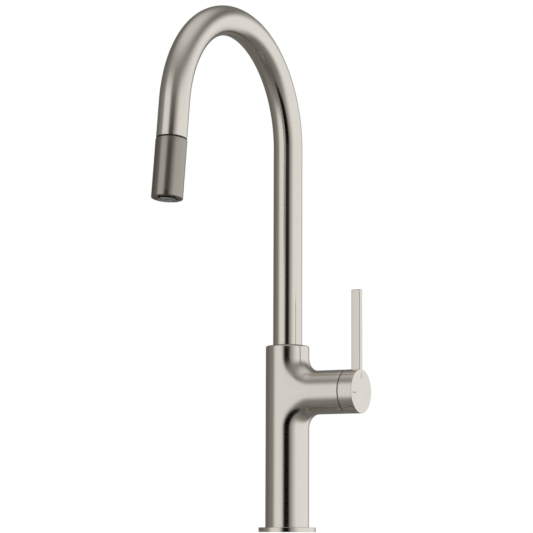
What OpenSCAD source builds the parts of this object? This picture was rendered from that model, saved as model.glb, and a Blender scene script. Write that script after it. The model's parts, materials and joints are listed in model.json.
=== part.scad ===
// Pull-down kitchen faucet with a side lever, millimetres.
// Origin: centre of the base ring on the deck. +Z up, spout towards -Y, lever arm along +X.

/* [Base ring and seal] */
// Diameter of the base ring
base_d = 49.7; // [46:0.1:60]
// Height of the base ring
base_h = 4; // [3:0.5:8]
// Width of the seal under the base ring
seal_w = 3; // [2:0.1:3.5]
// Thickness of the seal
seal_h = 1.5; // [1:0.1:2]
// Distance from the edge of the base ring to the seal
seal_inset = 2.3; // [1.5:0.1:2.5]

/* [Shank and clamp] */
// Diameter of the plain spigot that centres the faucet in the deck hole
spigot_d = 34; // [33.6:0.1:34.5]
// Length of the plain spigot below the deck
spigot_len = 8; // [5:0.5:15]
// Outer diameter of the shank thread
thread_d = 33; // [31:0.5:33.5]
// Thread pitch
thread_pitch = 2; // [1:0.5:3]
// Depth of the thread
thread_depth = 1; // [0.6:0.1:1.2]
// Reach of the shank below the deck
shank_len = 50; // [48:1:90]
// Bore of the shank, where the hoses pass
shank_bore = 29; // [28:0.1:30]
// Length of the shank stub inside the body
stub_len = 12; // [8:1:20]
// Thickness of the deck that the clamp is drawn up to
deck_t = 30; // [10:1:32]
// Diameter of the clamp washers
washer_d = 52; // [46:0.5:64]
// Thickness of the rubber washer
rubber_t = 3; // [2:0.5:4]
// Thickness of the steel washer
washer_t = 2; // [1.5:0.1:3]
// Width across flats of the mounting nut
nut_af = 44; // [40:0.5:50]
// Height of the mounting nut
nut_h = 10; // [8:0.5:12]

/* [Body] */
// Diameter of the body and of the arm
body_d = 38.1; // [37.6:0.1:42]
// Wall of the body and of the arm
body_wall = 2.5; // [2.3:0.1:2.8]
// Height of the top of the body
body_top = 162; // [161:0.5:200]
// Thickness of the roof of the body
roof_t = 6; // [4:0.5:7]
// Radius of the rounded top edge
top_edge = 1.5; // [0.5:0.1:2]
// Radius of the blend between body and arm
blend_r = 12; // [6:0.5:14]

/* [Arm and handle] */
// Height of the arm's axis
arm_z = 120.5; // [100:0.5:121]
// Distance from the body's axis to the end of the arm
arm_end = 58.4; // [56:0.1:80]
// Gap between the arm and the handle cap
cap_gap = 0.7; // [0.5:0.05:1]
// Length of the handle cap
cap_len = 13.4; // [12:0.1:18]
// Chamfer on the edge of the handle cap
cap_edge = 0.4; // [0.2:0.1:1]
// Width of the lever blade, along the arm
lever_w = 8.5; // [6:0.1:9]
// Thickness of the lever blade
lever_t = 5; // [4.5:0.1:7]
// Height of the lever blade's tip above the arm's axis
lever_len = 88.1; // [60:0.1:120]
// Rounding of the lever blade's edges
lever_edge = 0.8; // [0.3:0.1:1.5]
// Diameter of the tenon that fixes the blade in the cap
tenon_d = 4; // [3:0.1:4.4]
// Depth of the tenon in the cap
tenon_len = 5; // [3:0.5:6]
// Distance from the arm's axis to the inner end of the marks
mark_start = 10.4; // [8:0.1:12]
// Length of the marks
mark_len = 5.6; // [3:0.1:6]
// Width of the marks
mark_w = 0.9; // [0.5:0.1:1.5]
// Depth of the enamel in the marks
mark_depth = 0.4; // [0.2:0.1:0.8]
// How far the hot mark lies below the arm's axis
hot_drop = 1.6; // [0:0.1:2]

/* [Cartridge] */
// Chamber diameter in the cartridge sleeve
chamber_d = 26; // [25.6:0.1:26.4]
// Diameter of the ceramic discs
disc_d = 22; // [21:0.1:22.2]
// Thickness of each ceramic disc
disc_t = 3; // [2.5:0.1:3.2]
// Thickness of the seal under the discs
cartridge_seal_t = 1.4; // [1:0.1:2]
// Diameter of the cartridge stem
stem_d = 10; // [8:0.1:11]
// Diameter of the water ways
way_d = 4.4; // [3:0.1:4.6]
// Bore of the hose ports, the tapping size of M10x1
port_d = 9; // [8.5:0.05:9.2]
// Depth of the hose ports
port_len = 11; // [8:0.5:11.5]
// Distance of the hoses and ports from the body's axis
port_off = 8.5; // [8.4:0.05:8.8]

/* [Neck] */
// Diameter of the neck tube
neck_d = 25.4; // [25:0.1:26.5]
// Wall of the neck tube
neck_wall = 1.2; // [0.8:0.1:1.4]
// Height where the bend of the neck starts
neck_rise = 336.1; // [240:1:380]
// Radius of the bend, to the centre of the tube
bend_r = 96.1; // [70:1:120]
// Angle of the bend
bend_a = 172.9; // [150:0.1:180]
// Length of the straight outlet after the bend
outlet_len = 31.6; // [28:0.1:60]
// How far the neck turns to each side
swivel_a = 70; // [30:1:120]
// Height of each neck bush
bush_h = 6; // [4:0.1:6]
// Height of the neck collar
collar_h = 4.9; // [4.5:0.1:5]
// Diameter of the limit screw
stop_d = 4; // [3:0.1:4.2]

/* [Hose] */
// Outer diameter of the spray hose
hose_d = 11; // [10:0.1:11.2]
// Bore of the spray hose
hose_bore = 6; // [5:0.1:7]
// Bend radius of the hose where it shifts to the neck's centre
hose_bend = 44; // [44:1:50]

/* [Spray head] */
// Diameter of the spray head
head_d = 25.9; // [25.4:0.1:32]
// Wall of the spray head's shell
head_wall = 1.3; // [1:0.1:1.5]
// Length of the spray head
head_len = 49.1; // [48:0.1:80]
// Gap between the neck and the spray head
head_gap = 1.3; // [0.6:0.05:1.5]
// Length of the docking bush inside the outlet
dock_len = 18; // [14:0.5:24]
// Diameter of the raised centre of the spray face
face_d = 14.8; // [12:0.1:16]
// Height of the raised centre below the rim
face_drop = 1; // [0.5:0.1:2]
// Diameter of the bosses around the spray face
boss_d = 2.7; // [2:0.1:3]
// Distance of the bosses from the centre of the spray face
boss_off = 8.4; // [8.2:0.05:9]
// How far the nozzle bosses stay behind the end of the head
boss_sink = 0.5; // [0.2:0.1:0.8]

/* [Clearances] */
// Clearance between fixed pieces that slip together
fit_gap = 0.1; // [0.05:0.05:0.15]
// Running clearance of turning and sliding pieces
run_gap = 0.05; // [0.02:0.01:0.08]

/* [Hidden] */
$fn = 64;

// Colours
steel = [0.74, 0.72, 0.69];
inner_steel = [0.62, 0.63, 0.64];
brass = [0.76, 0.62, 0.36];
black = [0.09, 0.09, 0.09];
grey = [0.42, 0.43, 0.42];
white = [0.90, 0.90, 0.88];
cold_blue = [0.45, 0.53, 0.60];
hot_red = [0.65, 0.36, 0.31];

// Overrun of every cut, so that no skin is left
cut = 1;

// Body and bores
body_r = body_d / 2;
bore_r = body_r - body_wall;
slip_r = bore_r - fit_gap;
spigot_r = spigot_d / 2;
thread_r = thread_d / 2;
way_r = way_d / 2;
port_r = port_d / 2;
hose_r = hose_d / 2;
neck_r = neck_d / 2;
neck_in = neck_r - neck_wall;
stop_r = stop_d / 2;

// Stack of the neck bearing, from the roof of the body down
roof_z = body_top - roof_t;
upper_bush_z = roof_z - bush_h;
collar_z = upper_bush_z - run_gap - collar_h;
lower_bush_z = collar_z - run_gap - bush_h;
circlip_t = 1.1;
circlip_z = lower_bush_z - fit_gap - circlip_t;
circlip_depth = 0.8;
circlip_land = 1.3;
circlip_mouth = 40;
neck_foot_z = lower_bush_z + 1;
collar_r = bore_r - 0.25;
slot_r = neck_r + 1.7;
stop_tip = slot_r + 0.5;
stop_z = collar_z + collar_h / 2;
slot_half = swivel_a + asin(stop_r / stop_tip) + 0.5;

// Places along the arm
cap_back = arm_end + cap_gap;
cap_face = cap_back + cap_len;
spigot_x = 5;
block_flat_x = body_r - 4;
sleeve_x = block_flat_x + run_gap;
chamber_x = sleeve_x + 9;
fixed_x = chamber_x + cartridge_seal_t;
moving_x = fixed_x + disc_t + run_gap;
drive_x = moving_x + disc_t;
drive_t = 4.5;
neck_plate_x = drive_x + drive_t + run_gap;
cartridge_neck = 10;
cartridge_end = neck_plate_x + cartridge_neck;
sleeve_end = arm_end - 6.4;
sleeve_plug_r = 11.8;
chamber_r = chamber_d / 2;
disc_r = disc_d / 2;
stem_r = stem_d / 2;
stem_end = cap_face - 6.5;
hub_r = stem_r + 3;
skirt_r = bore_r - 2.05;
skirt_in = skirt_r - 1.9;
skirt_len = 5;
glide_lip = 0.4;
pocket_front = 4.5;
grub_r = 2.5;
grub_x = (cap_back + stem_end) / 2 + 0.5;
grub_len = 12;
flat_y = stem_r - 0.5;
oring_r = 0.7;
oring_x = spigot_x + 7;
groove_half = oring_r + 0.1;
inlet_y = 7;
inlet_drop = 3;
outlet_x = port_off;

// Valve block
block_drop = 20.5;
block_z = arm_z - block_drop;
block_top = arm_z + bore_r - 0.5;
hose_room = hose_r + 0.5;

// Hose: straight up the side, an S-bend, then up the centre of the neck
hose_turn_z = arm_z + 1.5;
hose_turn_a = acos(1 - port_off / (2 * hose_bend));
hose_centre_z = hose_turn_z + 2 * hose_bend * sin(hose_turn_a);
hose_split = 0.3;
barrel_len = 12;
nipple_len = 12;
nipple_r = 4;
barb_len = 8;

// Outlet and spray head, as distances along the outlet's axis from the end of the bend
head_r = head_d / 2;
head_in = head_r - head_wall;
head_top = outlet_len + head_gap;
head_end = head_top + head_len;
roof_s = 1.5;
core_r = head_in - fit_gap;
core_top = head_top + roof_s + fit_gap;
cone_reach = 9;
cone_start = outlet_len - cone_reach;
cone_end = core_top - 0.2;
cone_slope = 0.18;
cone_r0 = hose_r + 1.4;
cone_gap = 0.15;
ferrule_wall = 0.65;
ferrule_top = outlet_len - dock_len - 2;
nut_r = 6.5;
nut_body = 9.8;
nut_end = core_top + nut_body;
water_r = hose_bore / 2;
dock_lip_t = head_gap - 0.3;
dock_lip_r = neck_r - 0.8;
washer_s = 1.2;
valve_r = 4.9;
valve_len = 11;
face_base = head_end - 2.75;
face_base_t = 1.15;
ring_t = 0.55;
outlet_ring_t = 0.95;
housing_wall = 2;
housing_top = face_base - 8.15;
screen_t = 0.9;
face_r = face_d / 2;
boss_r = boss_d / 2;
boss_room = 0.55;
boss_turn = -29;
boss_count = 6;
swirl_in = 2.5;
swirl_out = 3.7;

// Blend between body and arm
blend_steps = 36;
arc_steps = 12;
blend_span = 84;
blend_lip = 0.06;
blend_skin = 0.02;

// Hair-thin bead that joins two stretches of tube end to end
bead = 0.01;
bead_half = 0.3;

function cone_r(s) = cone_r0 + cone_slope * (s - cone_start);

// ---- Helpers ----

module bar(r, z0, z1) {
    translate([0, 0, z0]) cylinder(r = r, h = z1 - z0);
}

module tube(ro, ri, z0, z1) {
    difference() {
        bar(ro, z0, z1);
        bar(ri, z0 - cut, z1 + cut);
    }
}

// Local +Z runs along the arm, away from the body; local +X points down
module along_arm() {
    translate([0, 0, arm_z]) rotate([0, 90, 0]) children();
}

// Local +Z runs down the outlet, from the end of the bend
module along_outlet() {
    translate([0, -bend_r, neck_rise]) rotate([bend_a, 0, 0]) translate([0, bend_r, 0]) children();
}

module seam(ro, ri) {
    tube(ro + bead, ri - bead, -bead_half, bead_half);
}

// Ring section of a tube
module wall_section(ro, ri) {
    difference() {
        circle(r = ro);
        circle(r = ri);
    }
}

// Tube along the neck's centre line, from a height to a distance down the outlet
module neck_path(ro, ri, z0, s1) {
    tube(ro, ri, z0, neck_rise);
    translate([0, -bend_r, neck_rise]) rotate([90, 0, 90])
        rotate_extrude(angle = bend_a, $fn = 128)
            translate([bend_r, 0]) wall_section(ro, ri);
    along_outlet() {
        tube(ro, ri, 0, s1);
        seam(ro, ri);
    }
}

// Rectangle with rounded corners, centred
module rounded_rect(w, h, r) {
    square([w - 2 * r, h], center = true);
    square([w, h - 2 * r], center = true);
    for (sx = [-1, 1], sy = [-1, 1])
        translate([sx * (w / 2 - r), sy * (h / 2 - r)]) circle(r = r);
}

// Turns a mark to the spout's side and lowers it
module hot_place() {
    along_arm() translate([hot_drop, 0, 0]) rotate([0, 0, 90]) children();
}

// Flat bar with round ends, centred on its length, for the marks
module mark_bar(grow) {
    w = mark_w / 2 + grow;
    translate([-(mark_start + mark_len / 2), 0, 0])
        linear_extrude(height = mark_depth + grow)
            rounded_rect(mark_len + 2 * grow, 2 * w, w * 0.6);
}

module hex_socket(across, depth) {
    cylinder(r = across / 2 / cos(30), h = depth, $fn = 6);
}

// ---- Blend between body and arm: above and below, the tube bends a quarter turn ----

// Scales a flat vector to a length
function to_length(v, len) = v * len / norm(v);

// One cross-section of the blend: its foot on the body, the arc, its foot on the arm, the crease
function blend_section(t, side) =
    let (
        far = body_r + blend_r,
        skin_r = body_r + blend_skin,
        bend = far - body_r * cos(t),
        trim = acos(1 - blend_lip / (bend * cos(t))),
        arc = [for (i = [0 : arc_steps])
            let (a = trim + (90 - 2 * trim) * i / arc_steps)
            [far - bend * cos(a), body_r * sin(t), side * (far - bend * sin(a))]],
        on_body = to_length([arc[0].x, arc[0].y], skin_r),
        on_arm = to_length([arc[arc_steps].y, arc[arc_steps].z], skin_r)
    )
    concat(
        [[on_body.x, on_body.y, arc[0].z]],
        arc,
        [[arc[arc_steps].x, on_arm.x, on_arm.y]],
        [skin_r * [cos(t), sin(t), side * cos(t)]]
    );

module blend(side) {
    n = arc_steps + 4;
    sections = [for (j = [0 : blend_steps])
        blend_section(side * blend_span * (2 * j / blend_steps - 1), side)];
    points = [for (s = sections) each s];
    sides = [for (j = [0 : blend_steps - 1], i = [0 : n - 1])
        let (a = j * n + i, b = j * n + (i + 1) % n)
        each [[a, b, b + n], [a, b + n, a + n]]];
    last_at = blend_steps * n;
    first = [for (i = [1 : n - 2]) [n - 1, i, i - 1]];
    last = [for (i = [1 : n - 2]) [last_at + n - 1, last_at + i - 1, last_at + i]];
    polyhedron(points = points, faces = concat(sides, first, last));
}

// ---- Base and clamp ----

module base_ring() {
    edge = 0.3;
    seal_out = base_d / 2 - seal_inset;
    color(steel) difference() {
        union() {
            bar(base_d / 2, 0, base_h - edge);
            translate([0, 0, base_h - edge]) cylinder(r1 = base_d / 2, r2 = base_d / 2 - edge, h = edge);
        }
        bar(bore_r, -cut, base_h + cut);
        tube(seal_out, seal_out - seal_w, -cut, seal_h);
    }
}

module base_seal() {
    seal_out = base_d / 2 - seal_inset - run_gap;
    color(black) tube(seal_out, seal_out - seal_w + 2 * run_gap, 0, seal_h - run_gap);
}

module shank() {
    thread_top = -spigot_len - thread_pitch;
    turns = floor((shank_len + thread_top) / thread_pitch);
    ridges = [for (i = [0 : turns - 1]) let (z = thread_top - i * thread_pitch) each [
        [thread_r - thread_depth, z],
        [thread_r, z - thread_pitch * 0.4],
        [thread_r, z - thread_pitch * 0.6]
    ]];
    color(inner_steel) rotate_extrude() polygon(concat(
        [
            [shank_bore / 2, base_h + stub_len],
            [slip_r, base_h + stub_len],
            [slip_r, 0],
            [spigot_r, 0],
            [spigot_r, -spigot_len],
            [thread_r - thread_depth, -spigot_len]
        ],
        ridges,
        [
            [thread_r - thread_depth, thread_top - turns * thread_pitch],
            [thread_r - thread_depth, -shank_len],
            [shank_bore / 2, -shank_len]
        ]
    ));
}

module rubber_washer() {
    color(black) tube(washer_d / 2, thread_r + fit_gap, -deck_t - rubber_t, -deck_t);
}

module steel_washer() {
    top = -deck_t - rubber_t;
    color(inner_steel) tube(washer_d / 2, thread_r + fit_gap, top - washer_t, top);
}

module mounting_nut() {
    top = -deck_t - rubber_t - washer_t;
    color(brass) difference() {
        translate([0, 0, top - nut_h]) cylinder(r = nut_af / 2 / cos(30), h = nut_h, $fn = 6);
        bar(thread_r + fit_gap, top - nut_h - cut, top + cut);
    }
}

// ---- Body ----

module body_outside() {
    rotate_extrude() {
        translate([0, base_h]) square([body_r, body_top - base_h - top_edge]);
        translate([0, base_h]) square([body_r - top_edge, body_top - base_h]);
        intersection() {
            translate([body_r - top_edge, body_top - top_edge]) circle(r = top_edge);
            translate([0, base_h]) square([body_r, body_top - base_h]);
        }
    }
}

module body_tube() {
    color(steel) difference() {
        body_outside();
        bar(bore_r, base_h - cut, roof_z);
        bar(neck_r + run_gap, roof_z - cut, body_top + cut);
        along_arm() bar(bore_r, 0, body_r + cut);
        bar(bore_r + circlip_depth, circlip_z - run_gap, circlip_z + circlip_t + run_gap);
        translate([0, body_r + cut, stop_z]) rotate([90, 0, 0])
            cylinder(r = stop_r + run_gap, h = body_wall + 2 * cut);
    }
}

// Saddled on the body tube
module arm_tube() {
    color(steel) difference() {
        along_arm() tube(body_r, bore_r, 0, arm_end);
        bar(body_r, base_h, body_top);
    }
}

// Dressed weld between body and arm
module arm_blend() {
    color(steel) for (side = [-1, 1]) translate([0, 0, arm_z]) blend(side);
}

module neck_bush_upper() {
    color(black) tube(slip_r, neck_r + run_gap, upper_bush_z, roof_z);
}

module neck_bush_lower() {
    color(black) tube(slip_r, neck_r + run_gap, lower_bush_z, lower_bush_z + bush_h);
}

module circlip() {
    outer = bore_r + circlip_depth - run_gap;
    color(inner_steel) difference() {
        tube(outer, bore_r - circlip_land, circlip_z, circlip_z + circlip_t);
        rotate([0, 0, 180 - circlip_mouth / 2]) translate([0, 0, circlip_z - cut])
            rotate_extrude(angle = circlip_mouth) translate([bore_r / 2, 0])
                square([bore_r, circlip_t + 2 * cut]);
    }
}

module limit_screw() {
    tail = body_r - 0.6;
    color(inner_steel) translate([0, tail, stop_z]) rotate([90, 0, 0]) difference() {
        cylinder(r = stop_r, h = tail - stop_tip);
        translate([0, 0, -cut]) hex_socket(stop_r, cut + 1.5);
    }
}

// ---- Valve block and cartridge ----

// Water ways along the arm, from x0 to x1: two inlets and the outlet in the centre
module arm_ways(x0, x1, centre_x0) {
    along_arm() {
        for (side = [-1, 1])
            translate([inlet_drop, side * inlet_y, 0]) bar(way_r, x0, x1);
        bar(way_r, centre_x0, x1);
    }
}

module valve_block() {
    inlet_top = arm_z - inlet_drop;
    color(brass) difference() {
        bar(slip_r, block_z, block_top);
        translate([block_flat_x, -body_r, block_z - cut])
            cube([body_r, body_d, block_top - block_z + 2 * cut]);
        along_arm() bar(sleeve_plug_r + fit_gap, spigot_x, body_r);
        translate([-port_off, 0, 0]) bar(hose_room, block_z - cut, block_top + cut);
        translate([-port_off, -hose_room + 0.2, hose_turn_z])
            cube([port_off + 0.5, 2 * hose_room - 0.4, block_top - hose_turn_z + cut]);
        for (side = [-1, 1]) {
            translate([0, side * port_off, 0]) bar(port_r, block_z - cut, block_z + port_len);
            translate([0, side * inlet_y, 0]) bar(way_r, block_z, inlet_top);
            translate([0, side * inlet_y, inlet_top]) sphere(r = way_r);
            along_arm() translate([inlet_drop, side * inlet_y, 0]) bar(way_r, 0, spigot_x + cut);
        }
        translate([outlet_x, 0, 0]) {
            bar(port_r, block_z - cut, arm_z - sleeve_plug_r - cut);
            bar(way_r, block_z, arm_z);
        }
    }
}

module cartridge_sleeve() {
    color(brass) difference() {
        along_arm() {
            bar(sleeve_plug_r, spigot_x + fit_gap, sleeve_x + cut);
            bar(slip_r, sleeve_x, sleeve_end);
        }
        along_arm() bar(chamber_r, chamber_x, sleeve_end + cut);
        along_arm() tube(sleeve_plug_r + cut, sleeve_plug_r - 2 * oring_r,
            oring_x - groove_half, oring_x + groove_half);
        arm_ways(0, chamber_x + cut, outlet_x);
        translate([outlet_x, 0, 0]) bar(way_r, arm_z - sleeve_plug_r - cut, arm_z);
    }
}

module sleeve_oring() {
    color(black) along_arm() translate([0, 0, oring_x]) rotate_extrude()
        translate([sleeve_plug_r - oring_r + run_gap, 0]) circle(r = oring_r);
}

module cartridge_seal() {
    color(black) difference() {
        along_arm() bar(chamber_r - fit_gap, chamber_x, fixed_x);
        arm_ways(chamber_x - cut, fixed_x + cut, chamber_x - cut);
    }
}

module fixed_disc() {
    color(white) difference() {
        along_arm() bar(disc_r, fixed_x, fixed_x + disc_t);
        arm_ways(fixed_x - cut, fixed_x + disc_t + cut, fixed_x - cut);
    }
}

module cartridge_body() {
    color(white) along_arm() difference() {
        bar(chamber_r - fit_gap, fixed_x, cartridge_end);
        bar(disc_r + 0.2, fixed_x - cut, neck_plate_x);
        bar(stem_r + run_gap, fixed_x, cartridge_end + cut);
    }
}

module cartridge_nut() {
    color(brass) along_arm() difference() {
        tube(chamber_r - fit_gap, stem_r + 3, cartridge_end, sleeve_end);
        for (a = [0, 90]) rotate([0, 0, a])
            translate([-chamber_r, -1.5, sleeve_end - 2]) cube([chamber_d, 3, 2 + cut]);
    }
}

module arm_glide_ring() {
    inner = skirt_r + run_gap;
    color(black) along_arm() {
        tube(slip_r, inner, sleeve_end + fit_gap, arm_end);
        tube(body_r - 0.65, inner, arm_end, arm_end + glide_lip);
    }
}

// Recess in the moving disc that joins an inlet to the outlet
module moving_disc() {
    inner = inlet_y - way_r;
    color(white) along_arm() difference() {
        bar(disc_r - 0.2, moving_x, drive_x);
        rotate([0, 0, -50]) translate([0, 0, moving_x - cut])
            rotate_extrude(angle = 100) translate([inner, 0])
                square([2 * way_r, cut + disc_t / 2]);
        translate([0, -way_r, moving_x - cut]) cube([inner + way_r, 2 * way_r, cut + disc_t / 2]);
    }
}

module cartridge_stem() {
    color(brass) along_arm() difference() {
        union() {
            bar(disc_r - 0.4, drive_x, drive_x + drive_t);
            bar(stem_r, drive_x, stem_end);
        }
        translate([-stem_r, flat_y, cap_back]) cube([stem_d, stem_r, stem_end]);
    }
}

// ---- Handle ----

module handle_cap() {
    color(steel) difference() {
        along_arm() {
            bar(body_r, cap_back, cap_face - cap_edge);
            translate([0, 0, cap_face - cap_edge])
                cylinder(r1 = body_r, r2 = body_r - cap_edge, h = cap_edge);
            bar(skirt_r, arm_end - skirt_len, cap_back + cut);
        }
        along_arm() tube(skirt_in, hub_r, arm_end - skirt_len - cut, cap_face - pocket_front);
        along_arm() bar(stem_r + fit_gap / 2, arm_end - skirt_len - cut, stem_end + 0.3);
        along_arm() bar(skirt_in, arm_end - skirt_len - cut, cap_back - 2);
        translate([grub_x, body_r + cut, arm_z]) rotate([90, 0, 0])
            cylinder(r = grub_r + run_gap, h = body_r - flat_y + 2 * cut);
        translate([cap_face - lever_w / 2, 0, arm_z])
            bar(tenon_d / 2 + run_gap, body_r - tenon_len - cut, body_r + cut);
        along_arm() translate([0, 0, cap_face - mark_depth - run_gap]) mark_bar(run_gap);
        hot_place() translate([0, 0, cap_face - mark_depth - run_gap]) mark_bar(run_gap);
    }
}

module grub_screw() {
    tip = flat_y + run_gap;
    color(inner_steel) translate([grub_x, tip + grub_len, arm_z]) rotate([90, 0, 0]) difference() {
        cylinder(r = grub_r, h = grub_len);
        translate([0, 0, -cut]) hex_socket(grub_r, cut + 2.5);
    }
}

module lever_blade() {
    x = cap_face - lever_w / 2;
    color(steel) {
        difference() {
            intersection() {
                translate([x, 0, arm_z]) linear_extrude(height = lever_len)
                    rounded_rect(lever_w, lever_t, lever_edge);
                translate([x, body_r, arm_z]) rotate([90, 0, 0]) linear_extrude(height = body_d)
                    rounded_rect(lever_w, 2 * lever_len, lever_edge);
            }
            along_arm() bar(body_r, 0, cap_face + cut);
        }
        translate([x, 0, arm_z]) bar(tenon_d / 2, body_r - tenon_len, body_r + cut);
    }
}

module cold_mark() {
    color(cold_blue) along_arm() translate([0, 0, cap_face - mark_depth]) mark_bar(0);
}

module hot_mark() {
    color(hot_red) hot_place() translate([0, 0, cap_face - mark_depth]) mark_bar(0);
}

// ---- Neck ----

module neck_tube() {
    color(steel) neck_path(neck_r, neck_in, neck_foot_z, outlet_len);
}

module neck_collar() {
    color(brass) difference() {
        tube(collar_r, neck_r, collar_z, collar_z + collar_h);
        rotate([0, 0, 90 - slot_half]) translate([0, 0, collar_z - cut])
            rotate_extrude(angle = 2 * slot_half) translate([slot_r, 0])
                square([body_wall + cut, collar_h + 2 * cut]);
    }
}

module dock_bush() {
    color(black) along_outlet() difference() {
        union() {
            bar(neck_in - run_gap, outlet_len - dock_len, outlet_len);
            bar(dock_lip_r, outlet_len, outlet_len + dock_lip_t);
        }
        bar(hose_r + ferrule_wall + 0.3, outlet_len - dock_len - cut, cone_start + cut);
        translate([0, 0, cone_start]) cylinder(
            r1 = cone_r(cone_start) + cone_gap,
            r2 = cone_r(outlet_len + cut) + cone_gap,
            h = outlet_len + cut - cone_start);
    }
}

// ---- Hose ----

// Arc of the S-bend about a centre at x, z, from a start angle
module at_hose_arc(x, z, start) {
    translate([x, 0, z]) rotate([90, 0, 0]) rotate([0, 0, start]) children();
}

module hose_arc() {
    rotate_extrude(angle = hose_turn_a, $fn = 128)
        translate([hose_bend, 0]) wall_section(hose_r, water_r);
}

module hose_lower() {
    color(black) {
        translate([-port_off, 0, 0]) tube(hose_r, water_r, -shank_len, hose_turn_z);
        translate([-port_off, 0, hose_turn_z]) seam(hose_r, water_r);
        at_hose_arc(hose_bend - port_off, hose_turn_z, 180 - hose_turn_a) {
            hose_arc();
            translate([hose_bend, 0, 0]) rotate([-90, 0, 0]) seam(hose_r, water_r);
        }
        at_hose_arc(-hose_bend, hose_centre_z, -hose_turn_a) hose_arc();
    }
}

module hose_coupling() {
    color(brass) translate([-port_off, 0, -shank_len]) difference() {
        union() {
            bar(water_r - run_gap, -cut, barb_len);
            bar(hose_r + 0.5, -barrel_len, 0);
            bar(nipple_r, -barrel_len - nipple_len, -barrel_len + cut);
        }
        bar(water_r - cut, -barrel_len - nipple_len - cut, barb_len + cut);
    }
}

module spray_hose() {
    color(black) neck_path(hose_r, water_r, hose_centre_z + hose_split, cone_start - hose_split);
}

module hose_ferrule() {
    inner = hose_r + run_gap;
    color(inner_steel) along_outlet() tube(inner + ferrule_wall - run_gap, inner, ferrule_top, cone_start);
}

module hose_nut() {
    color(brass) along_outlet() difference() {
        union() {
            translate([0, 0, cone_start])
                cylinder(r1 = cone_r0, r2 = cone_r(cone_end), h = cone_end - cone_start);
            bar(nut_r, cone_end - cut, nut_end);
        }
        bar(water_r, cone_start - cut, nut_end + cut);
    }
}

// ---- Spray head ----

module spray_shell() {
    edge = 0.4;
    color(steel) along_outlet() difference() {
        union() {
            bar(head_r, head_top, head_end - edge);
            translate([0, 0, head_end - edge]) cylinder(r1 = head_r, r2 = head_r - edge, h = edge);
        }
        bar(cone_r(cone_end) + 0.3, head_top - cut, head_end);
        bar(head_in, head_top + roof_s, head_end + cut);
    }
}

module spray_core() {
    color(black) along_outlet() difference() {
        bar(core_r, core_top, housing_top);
        bar(nut_r + run_gap, core_top - cut, nut_end + washer_s + run_gap);
        bar(valve_r + run_gap, core_top, nut_end + washer_s + valve_len + fit_gap);
        bar(water_r, core_top, housing_top + cut);
    }
}

module hose_washer() {
    color(white) along_outlet() tube(nut_r - fit_gap, water_r, nut_end + run_gap, nut_end + washer_s);
}

module check_valve() {
    top = nut_end + washer_s + run_gap;
    color(white) along_outlet() tube(valve_r, water_r - 0.6, top, top + valve_len);
}

module outlet_housing() {
    color(grey) along_outlet() tube(core_r, core_r - housing_wall, housing_top, face_base);
}

module filter_screen() {
    r = core_r - housing_wall - fit_gap;
    color(inner_steel) along_outlet() difference() {
        bar(r, housing_top, housing_top + screen_t);
        for (row = [1 : 3], i = [0 : 6 * row - 1])
            rotate([0, 0, 60 * i / row]) translate([row * r / 3.6, 0, 0])
                bar(0.8, housing_top - cut, housing_top + screen_t + cut);
    }
}

// Places something at each boss of the spray face
module at_bosses() {
    for (i = [0 : boss_count - 1])
        rotate([0, 0, boss_turn + i * 360 / boss_count]) translate([boss_off, 0, 0]) children();
}

// S-shaped slot: two half rings
module swirl(z0, z1) {
    mid = (swirl_in + swirl_out) / 2;
    for (turn = [0, 180]) rotate([0, 0, turn + boss_turn - 30])
        translate([mid, 0, z0]) rotate_extrude(angle = 180)
            translate([swirl_in, 0]) square([swirl_out - swirl_in, z1 - z0]);
}

module face_plate() {
    front = head_end + face_drop;
    color(grey) along_outlet() difference() {
        union() {
            bar(core_r, face_base, face_base + face_base_t);
            bar(face_r, face_base, front);
            at_bosses() bar(boss_r, face_base, head_end - boss_sink);
        }
        swirl(head_end - 0.4, front + cut);
    }
}

module face_ring() {
    top = face_base + face_base_t;
    color(black) along_outlet() difference() {
        tube(core_r, face_r + run_gap, top, top + ring_t);
        at_bosses() bar(boss_r + run_gap, top - cut, top + ring_t + cut);
    }
}

module outlet_ring() {
    top = head_end - outlet_ring_t - run_gap;
    color(steel) along_outlet() difference() {
        bar(core_r, top, top + outlet_ring_t);
        bar(boss_off + 0.1, top - cut, head_end + cut);
        at_bosses() bar(boss_r + boss_room, top - cut, head_end + cut);
    }
}

// ---- Parts ----

base_ring();
base_seal();
shank();
rubber_washer();
steel_washer();
mounting_nut();
body_tube();
arm_tube();
arm_blend();
neck_bush_upper();
neck_bush_lower();
circlip();
limit_screw();
valve_block();
cartridge_sleeve();
sleeve_oring();
cartridge_seal();
fixed_disc();
cartridge_body();
cartridge_nut();
arm_glide_ring();
hose_lower();
hose_coupling();
moving_disc();
cartridge_stem();
handle_cap();
grub_screw();
lever_blade();
cold_mark();
hot_mark();
neck_tube();
neck_collar();
spray_hose();
dock_bush();
hose_ferrule();
hose_nut();
spray_shell();
spray_core();
hose_washer();
check_valve();
outlet_housing();
filter_screen();
face_plate();
face_ring();
outlet_ring();
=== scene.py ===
# %% [markdown]
# A pull-down kitchen faucet: a brushed steel body with a side arm and a lever, a gooseneck that
# swivels, and a spray head that pulls out of it on a hose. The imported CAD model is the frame.
# Every surface that shows is made again here as a fine mesh with a map of millimetres on it,
# because brushed steel lives from the direction of its grain, and a CAD mesh carries none.

# %% Frame
import math

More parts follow.
